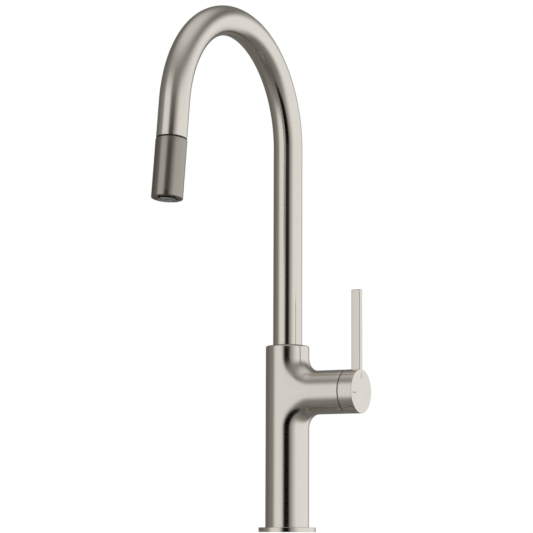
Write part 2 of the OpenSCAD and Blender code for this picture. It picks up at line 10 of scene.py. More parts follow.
import bmesh
import bpy
import numpy as np
from mathutils import Matrix, Vector
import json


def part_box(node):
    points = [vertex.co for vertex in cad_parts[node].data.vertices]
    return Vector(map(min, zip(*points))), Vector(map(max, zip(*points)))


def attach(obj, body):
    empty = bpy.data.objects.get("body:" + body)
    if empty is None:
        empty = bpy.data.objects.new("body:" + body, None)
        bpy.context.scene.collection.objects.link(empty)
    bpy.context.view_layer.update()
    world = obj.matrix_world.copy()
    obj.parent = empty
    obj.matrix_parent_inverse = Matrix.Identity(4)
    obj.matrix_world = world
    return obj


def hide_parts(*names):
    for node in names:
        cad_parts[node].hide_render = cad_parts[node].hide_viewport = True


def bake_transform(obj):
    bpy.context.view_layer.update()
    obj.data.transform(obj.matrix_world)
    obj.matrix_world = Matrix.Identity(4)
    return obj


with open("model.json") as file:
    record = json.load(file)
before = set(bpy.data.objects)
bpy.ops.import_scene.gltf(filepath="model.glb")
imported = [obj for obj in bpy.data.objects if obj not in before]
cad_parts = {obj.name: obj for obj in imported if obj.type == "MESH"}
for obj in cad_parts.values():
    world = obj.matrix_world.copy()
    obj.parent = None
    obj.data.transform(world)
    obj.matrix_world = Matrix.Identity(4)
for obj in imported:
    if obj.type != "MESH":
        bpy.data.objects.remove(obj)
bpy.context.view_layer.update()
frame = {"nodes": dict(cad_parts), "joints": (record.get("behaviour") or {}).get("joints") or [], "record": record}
MM = 0.001


def box_mm(node):
    """Lowest and highest corner of a CAD node, in millimetres."""
    low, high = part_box(node)
    return np.array(low) / MM, np.array(high) / MM


# %% [markdown]
# A product shot uses a long lens from far away, so that upright edges stay nearly parallel.
# This camera stands level with the deck and tips up a little, which shows the underside of the
# spray head. Its place is given as a compass angle and a distance from the body, and its aim as
# three small turns, because those are the numbers that one would set on a tripod.

# %% Camera
CAMERA_AZIMUTH = math.radians(28.901)
CAMERA_DISTANCE = 1.9793
CAMERA_HEIGHT = 0.0001
CAMERA_YAW = math.radians(0.542)
CAMERA_PITCH = math.radians(6.691)
CAMERA_ROLL = math.radians(0.203)


def swing(first, second, angle):
    """Two square axes turned in their plane: a cos t + b sin t, and b cos t - a sin t."""
    c, s = math.cos(angle), math.sin(angle)
    return first * c + second * s, second * c - first * s


def camera_matrix():
    """Place and aim of the camera: level axes at its azimuth, then turned by yaw, pitch, roll."""
    sin_a, cos_a = math.sin(CAMERA_AZIMUTH), math.cos(CAMERA_AZIMUTH)
    right, ahead, up = Vector((cos_a, sin_a, 0)), Vector((-sin_a, cos_a, 0)), Vector((0, 0, 1))
    right, ahead = swing(right, ahead, CAMERA_YAW)
    ahead, up = swing(ahead, up, CAMERA_PITCH)
    right, up = swing(right, up, CAMERA_ROLL)
    place = Vector((sin_a, -cos_a, 0)) * CAMERA_DISTANCE + Vector((0, 0, CAMERA_HEIGHT))
    turn = Matrix((right, up, -ahead)).transposed()
    return Matrix.Translation(place) @ turn.to_4x4()


camera_data = bpy.data.cameras.new("camera")
camera_data.sensor_width = 36
camera_data.lens = 152.79
camera_data.clip_end = 50
camera = bpy.data.objects.new("camera", camera_data)
camera.matrix_world = camera_matrix()
bpy.context.scene.collection.objects.link(camera)
bpy.context.scene.camera = camera
print("camera at", [round(c, 3) for c in camera.location])

# %% [markdown]
# Colours are written as the hex values that a paint program shows. Blender mixes light in
# linear values, so one function turns the one into the other. One more small function adds a
# shader node with its settings and its links, and every material below is built with it.

# %% Colour and node helpers


def linear(hex_colour):
    """The sRGB curve undone: c / 12.92 when dark, else ((c + 0.055) / 1.055) ** 2.4."""
    srgb = [int(hex_colour[i:i + 2], 16) / 255 for i in (1, 3, 5)]
    return [c / 12.92 if c <= 0.04045 else ((c + 0.055) / 1.055) ** 2.4 for c in srgb] + [1]


def add_node(tree, kind, values=None, **settings):
    """Adds a node. Values go to its inputs by name or number: a socket links, the rest is set."""
    made = tree.nodes.new(kind)
    for key, value in settings.items():
        setattr(made, key, value)
    for key, value in (values or {}).items():
        if isinstance(value, bpy.types.NodeSocket):
            tree.links.new(value, made.inputs[key])
        else:
            made.inputs[key].default_value = value
    return made


# %% [markdown]
# The world is plain: white where the camera, metal or clear parts see it, and a little dimmer as
# the even light on dull surfaces, so that their colours render about as they are written. Light
# Path says which kind of ray asks. Sampling the world as a lamp is switched off, because such a
# sample carries no kind.

# %% World
PLAIN_LIGHT = 0.75


def build_world():
    world = bpy.data.worlds.new("white_background")
    bpy.context.scene.world = world
    world.use_nodes = True
    world.cycles.sampling_method = "NONE"
    tree = world.node_tree
    tree.nodes.clear()
    path = add_node(tree, "ShaderNodeLightPath").outputs
    seen = path["Is Camera Ray"]
    for kind in ("Is Glossy Ray", "Is Transmission Ray"):
        seen = add_node(tree, "ShaderNodeMath", {0: seen, 1: path[kind]}, operation="MAXIMUM").outputs[0]
    strength = add_node(
        tree, "ShaderNodeMath", {0: seen, 1: 1 - PLAIN_LIGHT, 2: PLAIN_LIGHT}, operation="MULTIPLY_ADD"
    ).outputs[0]
    light = add_node(tree, "ShaderNodeBackground", {"Color": (1, 1, 1, 1), "Strength": strength}).outputs[0]
    add_node(tree, "ShaderNodeOutputWorld", {"Surface": light})


build_world()
print("world: white where seen, plain light", PLAIN_LIGHT)

# %% [markdown]
# All new pieces are surfaces: a grid of points worked out from two parameters, with a map that
# says how many millimetres lie around (U) and along (V). One function joins the grids of a piece
# into a mesh. It merges the points where grids meet, so seams and poles close, and prints the
# volume, which is positive only when the faces point outwards.

# %% Surface helper


def surface(name, patches, sharp_deg=32):
    """Joins grids into one mesh object. A patch is (points, uv) or (points, uv, keep): arrays of
    rows x columns x xyz and rows x columns x 2, in millimetres, and which cells have a face."""
    verts, quads, corners_uv, first = [], [], [], 0
    for points, uv, *keep in patches:
        rows, cols = points.shape[:2]
        index = first + np.arange(rows * cols).reshape(rows, cols)
        cell = np.stack([index[:-1, :-1], index[:-1, 1:], index[1:, 1:], index[1:, :-1]], -1)
        cell = cell[keep[0]] if keep else cell.reshape(-1, 4)
        verts.append(points.reshape(-1, 3))
        corners_uv.append(uv.reshape(-1, 2)[(cell - first).ravel()])
        quads.append(cell)
        first += rows * cols
    verts, quads = np.concatenate(verts) * MM, np.concatenate(quads)
    mesh = bpy.data.meshes.new(name)
    mesh.from_pydata(verts.tolist(), [], quads.tolist())
    layer = mesh.uv_layers.new(name="millimetres")
    layer.data.foreach_set("uv", np.concatenate(corners_uv).ravel())
    joined = bmesh.new()
    joined.from_mesh(mesh)
    bmesh.ops.remove_doubles(joined, verts=joined.verts, dist=0.002 * MM)
    bmesh.ops.dissolve_degenerate(joined, edges=joined.edges, dist=0.0005 * MM)
    volume = joined.calc_volume(signed=True) / MM**3
    open_edges = sum(not e.is_manifold or not e.is_contiguous for e in joined.edges)
    joined.to_mesh(mesh)
    joined.free()
    mesh.shade_smooth()
    mesh.set_sharp_from_angle(angle=math.radians(sharp_deg))
    piece = bpy.data.objects.new(name, mesh)
    bpy.context.scene.collection.objects.link(piece)
    print(f"{name}: {len(mesh.polygons)} faces, {volume:.0f} mm3, open edges {open_edges}")
    return piece


# %% [markdown]
# Nearly everything on a faucet is turned: a profile goes once around an axis. On the gooseneck
# the axis itself bends. So one function serves all: an axis gives a centre and two side
# directions for each distance along it, and a closed profile of (distance, radius) goes around.
# A profile is written as corners, each with its own rounding, because no real edge is sharp, and
# the thin bright line on a rounded edge is what tells the eye that it is machined metal.

# %% Turned pieces


def rounded_profile(corners, step=1e9):
    """Closed outline through corners (s, r, rounding). A corner becomes an arc that touches both
    of its sides; a side longer than step is divided evenly."""
    at = np.array([c[:2] for c in corners], float)
    points = []
    for i, (s, r, rounding) in enumerate(corners):
        here = at[i]
        back, ahead = at[i - 1] - here, at[(i + 1) % len(at)] - here
        back, ahead = back / np.linalg.norm(back), ahead / np.linalg.norm(ahead)
        if rounding == 0:
            arc = here[None]
        else:
            half = math.acos(np.clip(back @ ahead, -1, 1)) / 2
            middle = here + (back + ahead) / np.linalg.norm(back + ahead) * rounding / math.sin(half)
            start, end = here + back * rounding / math.tan(half), here + ahead * rounding / math.tan(half)
            t = np.linspace(0, 1, 6)[:, None]
            arc = start * (1 - t) + end * t - middle
            arc = middle + arc / np.linalg.norm(arc, axis=1, keepdims=True) * rounding
        if points:
            gap = np.linalg.norm(arc[0] - points[-1][-1])
            parts = max(1, math.ceil(gap / step))
            t = np.linspace(0, 1, parts + 1)[1:-1, None]
            points.append(points[-1][-1] * (1 - t) + arc[0] * t)
        points.append(arc)
    outline = np.concatenate(points)
    gap = np.linalg.norm(outline[0] - outline[-1])
    t = np.linspace(0, 1, max(1, math.ceil(gap / step)) + 1)[1:, None]
    return np.concatenate([outline, outline[-1] * (1 - t) + outline[0] * t])


def upright(x=0, y=0):
    """Axis along +Z: the distance along it is the height."""
    def axis(s):
        zero, one = np.zeros_like(s), np.ones_like(s)
        centre = np.stack([zero + x, zero + y, s], -1)
        return centre, np.stack([one, zero, zero], -1), np.stack([zero, one, zero], -1)
    return axis


def along_arm(s):
    """Axis along +X at the height of the arm: the distance along it is x."""
    zero, one = np.zeros_like(s), np.ones_like(s)
    return (
        np.stack([s, zero, zero + ARM_Z], -1),
        np.stack([zero, one, zero], -1),
        np.stack([zero, zero, one], -1),
    )


def along_neck(s):
    """Axis of the gooseneck: straight up to the rise, an arc towards -Y, then straight on.
    The distance s is zero where the arc ends and negative before it."""
    arc = BEND_RADIUS * BEND_ANGLE
    angle = np.clip((s + arc) / BEND_RADIUS, 0, BEND_ANGLE)
    before, after = np.minimum(s + arc, 0), np.maximum(s, 0)
    out = np.stack([0 * s, np.cos(angle), np.sin(angle)], -1)
    ahead = np.stack([0 * s, -np.sin(angle), np.cos(angle)], -1)
    centre = np.array([0, -BEND_RADIUS, NECK_RISE]) + BEND_RADIUS * out
    return centre + ahead * (before + after)[..., None], np.broadcast_to([1.0, 0, 0], out.shape), out


def go_round(axis, outline, around, radius_at=None):
    """Carries an outline (s, r) around an axis: centre + r (side cos a + other cos b), with
    radius_at(r, angle) to change the radius by angle. V is the length along the outline."""
    angle = np.linspace(0, 2 * np.pi, around + 1)
    s, r = outline.T
    centre, side, other = axis(s)
    radius = np.repeat(r[:, None], around + 1, 1) if radius_at is None else radius_at(r[:, None], angle[None])
    points = centre[:, None] + radius[..., None] * (
        side[:, None] * np.cos(angle)[None, :, None] + other[:, None] * np.sin(angle)[None, :, None]
    )
    run = np.concatenate([[0], np.cumsum(np.linalg.norm(np.diff(outline, axis=0), axis=1))])
    uv = np.stack(np.broadcast_arrays(angle[None] * r.max(), run[:, None]), -1)
    return points, uv


def turned(name, axis, corners, around=96, step=1e9):
    return surface(name, [go_round(axis, rounded_profile(corners, step), around)])


# %% [markdown]
# The sizes come from the frame. The neck's path also needs the radius of its bend, and the angle
# comes from the direction in which the spray head is pulled.

# %% Sizes from the frame
body_low, body_high = box_mm("body_tube")
arm_low, arm_high = box_mm("arm_tube")
neck_low, neck_high = box_mm("neck_tube")
BODY_R = body_high[0]
BODY_WALL = 2.5
BORE_R = BODY_R - BODY_WALL
BASE_TOP, BODY_TOP = body_low[2], body_high[2]
ARM_Z = (arm_low[2] + arm_high[2]) / 2
ARM_END = arm_high[0]
BLEND_R = 12.0
SEAM = 0.01  # the CAD tube carries a hair-thin bead where two stretches meet
NECK_R = neck_high[0] - SEAM
NECK_WALL = 1.2
SCREW_Z = sum(box[2] for box in box_mm("limit_screw")) / 2
NECK_FOOT = neck_low[2]
BEND_RADIUS = 96.1
NECK_RISE = neck_high[2] - BEND_RADIUS - NECK_R
PULL = next(np.array(j["axis"]) for j in frame["joints"] if j["name"] == "hose_pull")
BEND_ANGLE = math.pi - math.atan2(-PULL[1], -PULL[2])
NECK_START = -BEND_RADIUS * BEND_ANGLE - (NECK_RISE - NECK_FOOT)
OUTLET_END = 31.6
ARM = along_arm
print("body", BODY_R, BODY_TOP, "arm", ARM_Z, ARM_END)
print("neck", NECK_R, round(NECK_RISE, 2), round(BEND_ANGLE, 4))

# %% [markdown]
# Two small screws sit in round holes in curved walls. A hole that cuts across the rows of a grid
# is drilled the way a workshop does it: a round bar is taken away with a Boolean, which is then
# applied, so that only the finished mesh is left.

# %% Drilled holes


def drill(piece, start, direction, radius, depth):
    """Takes a round bar away: it starts at a point outside the wall and runs along a direction."""
    start, direction = np.array(start, float), np.array(direction, float)
    side = np.cross(direction, [0, 0, 1])
    other = np.cross(direction, side)

    def bar(s):
        rows = np.ones((len(s), 1))
        return start + direction * s[:, None], side * rows, other * rows

    outline = np.array([(0, 0), (0, radius), (depth, radius), (depth, 0)], float)
    bit = surface("drill_bit", [go_round(bar, outline, 48)])
    cut = piece.modifiers.new("hole", "BOOLEAN")
    cut.object = bit
    cut.solver = "EXACT"
    drilled = bpy.data.meshes.new_from_object(piece.evaluated_get(bpy.context.evaluated_depsgraph_get()))
    piece.modifiers.clear()
    piece.data = drilled
    drilled.set_sharp_from_angle(angle=math.radians(32))
    bpy.data.objects.remove(bit)
    print(f"{piece.name}: drilled, {len(drilled.polygons)} faces")


# %% [markdown]
# The body is a T of two tubes of the same width. Above and below the arm, the tube's section
# turns a quarter bend from one into the other, and between the two bends the front and the back
# are flat. So every highlight that runs along the body bends over into the arm on a clean arc.
# With the tube's radius r, the corner's radius p and far = r + p, the line of the section at the
# side angle t bends with the radius far - r cos t around the same centre line, far from both
# axes. At t = 0 that is the tight corner p, and at the front it is far. Inside, the bores meet in
# a sharp corner, which is the same formula for the curve where they cross: height r cos t.

# %% Body with arm
AROUND_HALF = 64
BEND_ROWS = 24
FLAT_ROWS = 48
FAR = BODY_R + BLEND_R


def body_grid(radius, t, z_from, z_to, rows):
    """Part of the body tube: (r cos t, r sin t, z), z between two curves of t."""
    k = np.linspace(0, 1, rows + 1)[:, None]
    z = z_from * (1 - k) + z_to * k + 0 * t[None]
    points = np.stack([radius * np.cos(t) + 0 * z, radius * np.sin(t) + 0 * z, z], -1)
    return points, np.stack([radius * t + 0 * z, z], -1)


def arm_grid(radius, t, side, x_from, x_to, rows):
    """Half of the arm tube: (x, r sin t, +-r cos t), x between a curve of t and the end."""
    k = np.linspace(0, 1, rows + 1)[:, None]
    x = x_from * (1 - k) + x_to * k + 0 * t[None]
    points = np.stack([x, radius * np.sin(t) + 0 * x, ARM_Z + side * radius * np.cos(t) + 0 * x], -1)
    return points, np.stack([radius * t + 0 * x, x], -1)


def bend_grid(t, side):
    """Quarter bend: with b = far - r cos t, the point (far - b cos a, r sin t, +-(far - b sin a)),
    where a goes from the body to the arm."""
    a = np.linspace(0, np.pi / 2, BEND_ROWS + 1)[:, None]
    b = FAR - BODY_R * np.cos(t)[None]
    x, height = FAR - b * np.cos(a), FAR - b * np.sin(a)
    points = np.stack([x, BODY_R * np.sin(t) + 0 * x, ARM_Z + side * height], -1)
    return points, np.stack([BODY_R * t + 0 * x, ARM_Z + side * FAR * (1 - a) + 0 * x], -1)


def flat_grid(side):
    """Flat face between the bends: x = far (1 - cos a), z = k far (1 - sin a), k from -1 to 1."""
    a = np.linspace(0, np.pi / 2, BEND_ROWS + 1)[:, None]
    k = np.linspace(-1, 1, FLAT_ROWS + 1)[None]
    x, z = FAR * (1 - np.cos(a)) + 0 * k, ARM_Z + FAR * (1 - np.sin(a)) * k
    points = np.stack([x, side * BODY_R + 0 * x, z], -1)
    return points, np.stack([side * (BODY_R * np.pi / 2 - x), z], -1)


def flipped(patch):
    """The same grid with its rows reversed, so that its faces point the other way."""
    return tuple(part[::-1] for part in patch)


def body_patches():
    front = np.linspace(-np.pi / 2, np.pi / 2, AROUND_HALF + 1)
    back = np.linspace(np.pi / 2, 3 * np.pi / 2, AROUND_HALF + 1)
    edge = 1.5
    low, high, wall_top = ARM_Z - FAR, ARM_Z + FAR, BODY_TOP - edge
    outside = [
        body_grid(BODY_R, front, BASE_TOP, low, 14), body_grid(BODY_R, front, high, wall_top, 2),
        body_grid(BODY_R, back, BASE_TOP, low, 14), body_grid(BODY_R, back, low, high, FLAT_ROWS),
        body_grid(BODY_R, back, high, wall_top, 2), bend_grid(front, -1), flipped(bend_grid(front, 1)),
        flipped(flat_grid(-1)), flat_grid(1), arm_grid(BODY_R, front, -1, FAR, ARM_END - 0.3, 6),
        flipped(arm_grid(BODY_R, front, 1, FAR, ARM_END - 0.3, 6)),
    ]
    roof_z = BODY_TOP - 6
    rim = BORE_R * np.cos(front)[None]
    inside = [
        body_grid(BORE_R, front, BASE_TOP, ARM_Z - rim, 14), body_grid(BORE_R, front, ARM_Z + rim, roof_z, 7),
        body_grid(BORE_R, back, BASE_TOP, ARM_Z, 14), body_grid(BORE_R, back, ARM_Z, roof_z, 7),
        arm_grid(BORE_R, front, -1, rim, ARM_END, 9), flipped(arm_grid(BORE_R, front, 1, rim, ARM_END, 9)),
    ]
    neck_hole = NECK_R + 0.05
    cap = rounded_profile([
        (wall_top, BODY_R, 0), (BODY_TOP, BODY_R, edge * 0.999), (BODY_TOP, neck_hole, 0.3),
        (roof_z, neck_hole, 0), (roof_z, BORE_R, 0),
    ])[:-1]
    foot = np.array([(BASE_TOP, BORE_R), (BASE_TOP, BODY_R)])
    mouth = rounded_profile([
        (ARM_END - 0.3, BODY_R, 0), (ARM_END, BODY_R, 0.2999), (ARM_END, BORE_R, 0),
    ])[:-1]
    ends = [
        go_round(quarter_back(axis), outline, 2 * AROUND_HALF)
        for axis, outline in ((upright(), cap), (upright(), foot), (ARM, mouth))
    ]
    return outside + [flipped(patch) for patch in inside] + ends


def quarter_back(axis):
    """The same axis with its side directions turned back by 90 degrees."""
    def turned_axis(s):
        centre, side, other = axis(s)
        return centre, -other, side
    return turned_axis


body = surface("faucet_body", body_patches())
drill(body, (0, BODY_R + 1, SCREW_Z), (0, -1, 0), 2.05, 5)

# %% [markdown]
# The gooseneck is one bent tube. Its outline is a thin closed strip, outer wall out and inner
# wall back, carried along the bent axis. A reflection runs fast over a bend, so the outer wall
# has a row of faces every 1.2 mm there. Where the neck leaves the body, a thin black slip ring
# fills the last of the gap, and the eye sees a fine dark line.

# %% Gooseneck
NECK_IN = NECK_R - NECK_WALL
BEND_START = -BEND_RADIUS * BEND_ANGLE
outer_bend = [(s, NECK_R, 0) for s in np.linspace(BEND_START, 0, 241)]
inner_bend = [(s, NECK_IN, 0) for s in np.linspace(0, BEND_START, 61)]
gooseneck = turned("gooseneck", along_neck, [
    (NECK_START, NECK_R, 0), *outer_bend, (OUTLET_END, NECK_R, 0.25), (OUTLET_END, NECK_IN, 0.2),
    *inner_bend, (NECK_START, NECK_IN, 0),
], around=144)
slip_ring = turned("neck_slip_ring", upright(), [
    (BODY_TOP - 0.5, NECK_R + 0.12, 0), (BODY_TOP + 0.8, NECK_R + 0.12, 0.05),
    (BODY_TOP + 0.8, NECK_R - 0.3, 0), (BODY_TOP - 0.5, NECK_R - 0.3, 0),
], around=144)

# %% [markdown]
# The base ring is a flat washer with a crisp small edge, grooved below for its seal.

# %% Base ring
ring_high = box_mm("base_ring")[1]
RING_R = ring_high[0]
seal_high = box_mm("base_seal")[1]
SEAL_OUT = seal_high[0] + 0.05
SEAL_IN = SEAL_OUT - 3
base_flange = turned("base_flange", upright(), [
    (0, RING_R, 0.15), (ring_high[2], RING_R, 0.3), (ring_high[2], BORE_R, 0), (0, BORE_R, 0.1),
    (0, SEAL_IN, 0), (1.5, SEAL_IN, 0), (1.5, SEAL_OUT, 0), (0, SEAL_OUT, 0),
], around=128)

# %% [markdown]
# The handle is a turned cap on the end of the arm. Its flat face and the lever's side are one
# plane, as on a cap and a blade that were welded and ground together. The small hole at the back
# takes the set screw that holds the cap on the cartridge's stem.

# %% Handle cap
cap_high = box_mm("handle_cap")[1]
lever_low, lever_high = box_mm("lever_blade")
grub_low, grub_high = box_mm("grub_screw")
CAP_FACE = cap_high[0]
CAP_BACK = ARM_END + 0.7
GRUB_X = (grub_low[0] + grub_high[0]) / 2


def cap_patches(around=96):
    outline = rounded_profile([
        (66.3, 0, 0), (66.3, 5.05, 0), (57.1, 5.05, 0), (57.1, 8, 0), (68, 8, 0), (68, 12.6, 0),
        (53.4, 12.6, 0), (53.4, 14.5, 0), (CAP_BACK, 14.5, 0), (CAP_BACK, BODY_R, 0.3),
        (CAP_FACE, BODY_R, 0.45), (CAP_FACE, 0, 0),
    ], step=1.5)
    outline = outline[:np.flatnonzero(outline[:, 1] < 1e-9)[1]]
    face = go_round(ARM, np.array([outline[-1], (CAP_FACE, 0)]), around)[0]
    return [go_round(ARM, outline, around), (face, face[..., [2, 1]])]


cap = surface("handle_cap_turned", cap_patches())
drill(cap, (GRUB_X, BODY_R + 1, ARM_Z), (0, -1, 0), 2.55, 16.5)

# %% [markdown]
# The lever is a flat bar with rounded edges. Its cross-section is a rectangle whose corners are
# quarter circles. Towards the tip the section shrinks by e (1 - sin a) while it rises by e cos a
# along a quarter circle, which rounds the end in the same way as the sides.

# %% Lever blade
LEVER_W = lever_high[0] - lever_low[0]
LEVER_T = lever_high[1] - lever_low[1]
LEVER_TIP = lever_high[2]
LEVER_EDGE = 0.8


def bar_section(width, thick, edge, arc=7):
    """Closed outline of a rectangle with quarter-circle corners, counterclockwise."""
    a = np.linspace(0, np.pi / 2, arc)
    corners = []
    for quarter, (sx, sy) in enumerate(((1, 1), (-1, 1), (-1, -1), (1, -1))):
        turn = a + quarter * np.pi / 2
        corners.append(np.stack([
            sx * (width / 2 - edge) + edge * np.cos(turn), sy * (thick / 2 - edge) + edge * np.sin(turn)
        ], -1))
    outline = np.concatenate(corners)
    return np.concatenate([outline, outline[:1]])


def blade_patches():
    section = bar_section(LEVER_W, LEVER_T, LEVER_EDGE)
    root = ARM_Z + np.sqrt(BODY_R**2 - section[:, 1] ** 2) - 1.2
    a = np.linspace(np.pi / 2, 0, 7)[:, None]
    shrink = np.concatenate([np.zeros((8, 1)), LEVER_EDGE * (1 - np.sin(a[1:]))])
    k = np.linspace(0, 1, 8)[:, None]
    side_z = root[None] * (1 - k) + (LEVER_TIP - LEVER_EDGE) * k
    tip_z = np.repeat(LEVER_TIP - LEVER_EDGE + LEVER_EDGE * np.cos(a[1:]), len(section), 1)
    z = np.concatenate([side_z, tip_z])
    size = np.array([LEVER_W / 2, LEVER_T / 2])
    scale = (size - shrink[:, :1]) / size
    xy = section[None] * scale[:, None, :]
    points = np.concatenate([xy, z[..., None]], -1) + [CAP_FACE + 0.005 - LEVER_W / 2, 0, 0]
    run = np.concatenate([[0], np.cumsum(np.linalg.norm(np.diff(section, axis=0), axis=1))])
    uv = np.stack(np.broadcast_arrays(z, run[None]), -1)
    lid = []
    for row in (points[:1], points[-1:]):
        centre = row[:, :-1].mean(1, keepdims=True) + 0 * row
        lid.append(np.concatenate([centre, row]))
    return [(points, uv), (lid[0], uv[:2]), (lid[1][::-1], uv[:2])]


blade = surface("lever_bar", blade_patches())

# %% [markdown]
# The two marks on the cap are shallow strokes filled with enamel. They stand a hair above the
# face, so that their colour covers it: each is a dome over a bar with round ends.

# %% Marks


def mark_patches(node, flat_axis):
    """Dome over the CAD mark's box: the section shrinks by k as the height rises by the square
    root of 1 - k squared."""
    low, high = box_mm(node)
    middle = (low + high) / 2
    across = [a for a in (1, 2) if a != flat_axis][0]
    long_half, short_half = (high - low)[flat_axis] / 2, (high - low)[across] / 2
    section = bar_section(2 * long_half, 2 * short_half, short_half * 0.999)
    k = np.array([1.0, 0.85, 0.5, 0.0])[:, None]
    inset = short_half * (1 - k)
    points = np.zeros((5, len(section), 3))
    size = np.array([long_half, short_half])
    flat = section[None] * ((size - inset) / size)[:, None]
    flat = np.concatenate([flat[:1], flat])
    points[..., flat_axis] = middle[flat_axis] + flat[..., 0]
    points[..., across] = middle[across] + flat[..., 1]
    rise = np.concatenate([[[-0.3]], 0.06 * np.sqrt(1 - k**2) + 0.01])
    points[..., 0] = CAP_FACE + rise
    base = np.concatenate([points[:1].mean(1, keepdims=True) + 0 * points[:1], points[:1]])
    uv = np.stack(np.broadcast_arrays(np.arange(len(section))[None] * 0.3, np.arange(5)[:, None] * 0.2), -1)
    patches = [(points, uv), (base, uv[:2])]
    return patches if flat_axis == 1 else [flipped(p) for p in patches]


cold = surface("cold_stroke", mark_patches("cold_mark", 2))
hot = surface("hot_stroke", mark_patches("hot_mark", 1))

# %% [markdown]
# The spray head is a turned shell. Distances run down the outlet from the end of the bend.

# %% Spray head
HEAD_TOP = OUTLET_END + 1.3
HEAD_END = HEAD_TOP + 49.1
HEAD_R = 12.95
HEAD_IN = HEAD_R - 1.3
CORE_R = HEAD_IN - 0.1
ROOF_HOLE = 9.35
head_shell = turned("spray_head_shell", along_neck, [
    (HEAD_TOP, HEAD_R, 0.35), (HEAD_END, HEAD_R, 0.45), (HEAD_END, HEAD_IN, 0.2),
    (HEAD_TOP + 1.5, HEAD_IN, 0), (HEAD_TOP + 1.5, ROOF_HOLE, 0), (HEAD_TOP, ROOF_HOLE, 0.3),
], around=96, step=6)

# %% [markdown]
# A flat ring closes the shell. Its inner edge is scalloped: a round opening with a half-round bay
# at each of the six nozzles. In polar form its radius is the larger of the opening's radius and
# the far side of a bay's circle, c cos d + sqrt(a^2 - c^2 sin^2 d), where d is the angle from the
# bay's middle, c its distance and a its radius. A black lining follows that edge, and a black ring
# goes around the centre, so the groove between them is one dark ring.

# %% Spray face
NOZZLES = 6
NOZZLE_TURN = math.radians(-29)
NOZZLE_OFF = 8.4
NOZZLE_R = 1.35
NOZZLE_SINK = 0.5
BAY_R = 1.9
RING_FACE = HEAD_END - 0.05
RING_THICK = 0.95
PLATE_BACK = HEAD_END - 2.75
CENTRE_R = 7.4
FACE_FRONT = HEAD_END + 1


def bay_edge(radius, angle):
    """Radius of the scalloped edge by angle: small radii of the outline count from that edge."""
    step = 2 * np.pi / NOZZLES
    d = (angle - NOZZLE_TURN + step / 2) % step - step / 2
    inside = BAY_R**2 - (NOZZLE_OFF * np.sin(d)) ** 2
    bay = NOZZLE_OFF * np.cos(d) + np.sqrt(np.maximum(inside, 0)) - NOZZLE_OFF
    edge = NOZZLE_OFF + np.where(inside > 0, np.maximum(bay, 0.1), 0.1)
    return np.where(radius < 5, edge + radius, radius + 0 * angle)


RING_BACK = RING_FACE - RING_THICK
scallop = rounded_profile([
    (RING_BACK, CORE_R, 0), (RING_FACE, CORE_R, 0.1), (RING_FACE, 0.0001, 0.18), (RING_BACK, 0.0001, 0),
])
face_trim = surface("spray_face_ring", [go_round(along_neck, scallop, 240, bay_edge)])
lining = rounded_profile([
    (RING_BACK, 0.05, 0), (RING_FACE - 0.1, 0.05, 0), (RING_FACE - 0.1, -0.22, 0.08), (RING_BACK, -0.22, 0),
])
face_liner = surface("spray_face_liner", [go_round(along_neck, lining, 240, bay_edge)])
face_collar = turned("spray_face_collar", along_neck, [
    (PLATE_BACK + 1.2, CENTRE_R + 0.12, 0), (FACE_FRONT - 0.12, CENTRE_R + 0.12, 0.1),
    (FACE_FRONT - 0.12, CENTRE_R - 0.25, 0), (PLATE_BACK + 1.2, CENTRE_R - 0.25, 0),
])

# %% [markdown]
# The nozzles are soft tips that can be rubbed clean of lime. Each is a dome of revolution in a
# black seat that covers its boss: the radius is r cos a and the height h sin a.

# %% Nozzle tips


def on_outlet(x, y, s):
    """Point at the distance s down the outlet, x and y to the sides of its axis."""
    centre, side, other = along_neck(s)
    return centre + x[..., None] * side + y[..., None] * other


def nozzle_dome(turn, wide, tall):
    a = np.linspace(0, np.pi / 2, 9)[:, None]
    angle = np.linspace(0, 2 * np.pi, 33)[None]
    rise = np.concatenate([[[-0.3]], tall * np.sin(a)])
    radius = wide * np.concatenate([[[1.0]], np.cos(a)])
    x = NOZZLE_OFF * np.cos(turn) + radius * np.cos(angle)
    y = NOZZLE_OFF * np.sin(turn) + radius * np.sin(angle)
    points = on_outlet(x, y, HEAD_END - NOZZLE_SINK + rise + 0 * angle)
    base = np.concatenate([points[:1].mean(1, keepdims=True) + 0 * points[:1], points[:1]])
    uv = np.stack(np.broadcast_arrays(angle * wide, rise), -1)
    return [(points, uv), (base, uv[:2])]


turns = NOZZLE_TURN + np.arange(NOZZLES) * 2 * np.pi / NOZZLES
nozzles = surface("nozzle_tips", [p for turn in turns for p in nozzle_dome(turn, 0.75, 0.35)])
seats = surface("nozzle_seats", [p for turn in turns for p in nozzle_dome(turn, NOZZLE_R + 0.03, 0.08)])


def slot_strip(turn, half_width=0.55, middle=3.1, low=0.3, high=1.3):
    """Strip in a half-round slot: a small rectangle (side, depth) carried along a half circle of
    the radius middle, whose own centre lies middle to one side of the outlet's axis."""
    angle = np.radians(np.linspace(1, 179, 41))[None]
    corner = np.array([(-1, low), (1, low), (1, high), (-1, high), (-1, low)], float)
    reach = middle + half_width * corner[:, :1]
    x, y = middle + reach * np.cos(angle), reach * np.sin(angle)
    x, y = x * np.cos(turn) - y * np.sin(turn), x * np.sin(turn) + y * np.cos(turn)
    points = on_outlet(x, y, HEAD_END - 0.4 + corner[:, 1:] + 0 * angle)
    uv = np.stack(np.broadcast_arrays(angle * middle, corner[:, 1:]), -1)
    ends = [np.stack([points[[0, 1], i], points[[3, 2], i]]) for i in (0, -1)]
    return [(points, uv), (ends[0], uv[:2, :2]), (ends[1][:, ::-1], uv[:2, :2])]


slots = surface("spray_face_slots", [
    patch for turn in (0, math.pi) for patch in slot_strip(NOZZLE_TURN - math.radians(30) + turn)
])
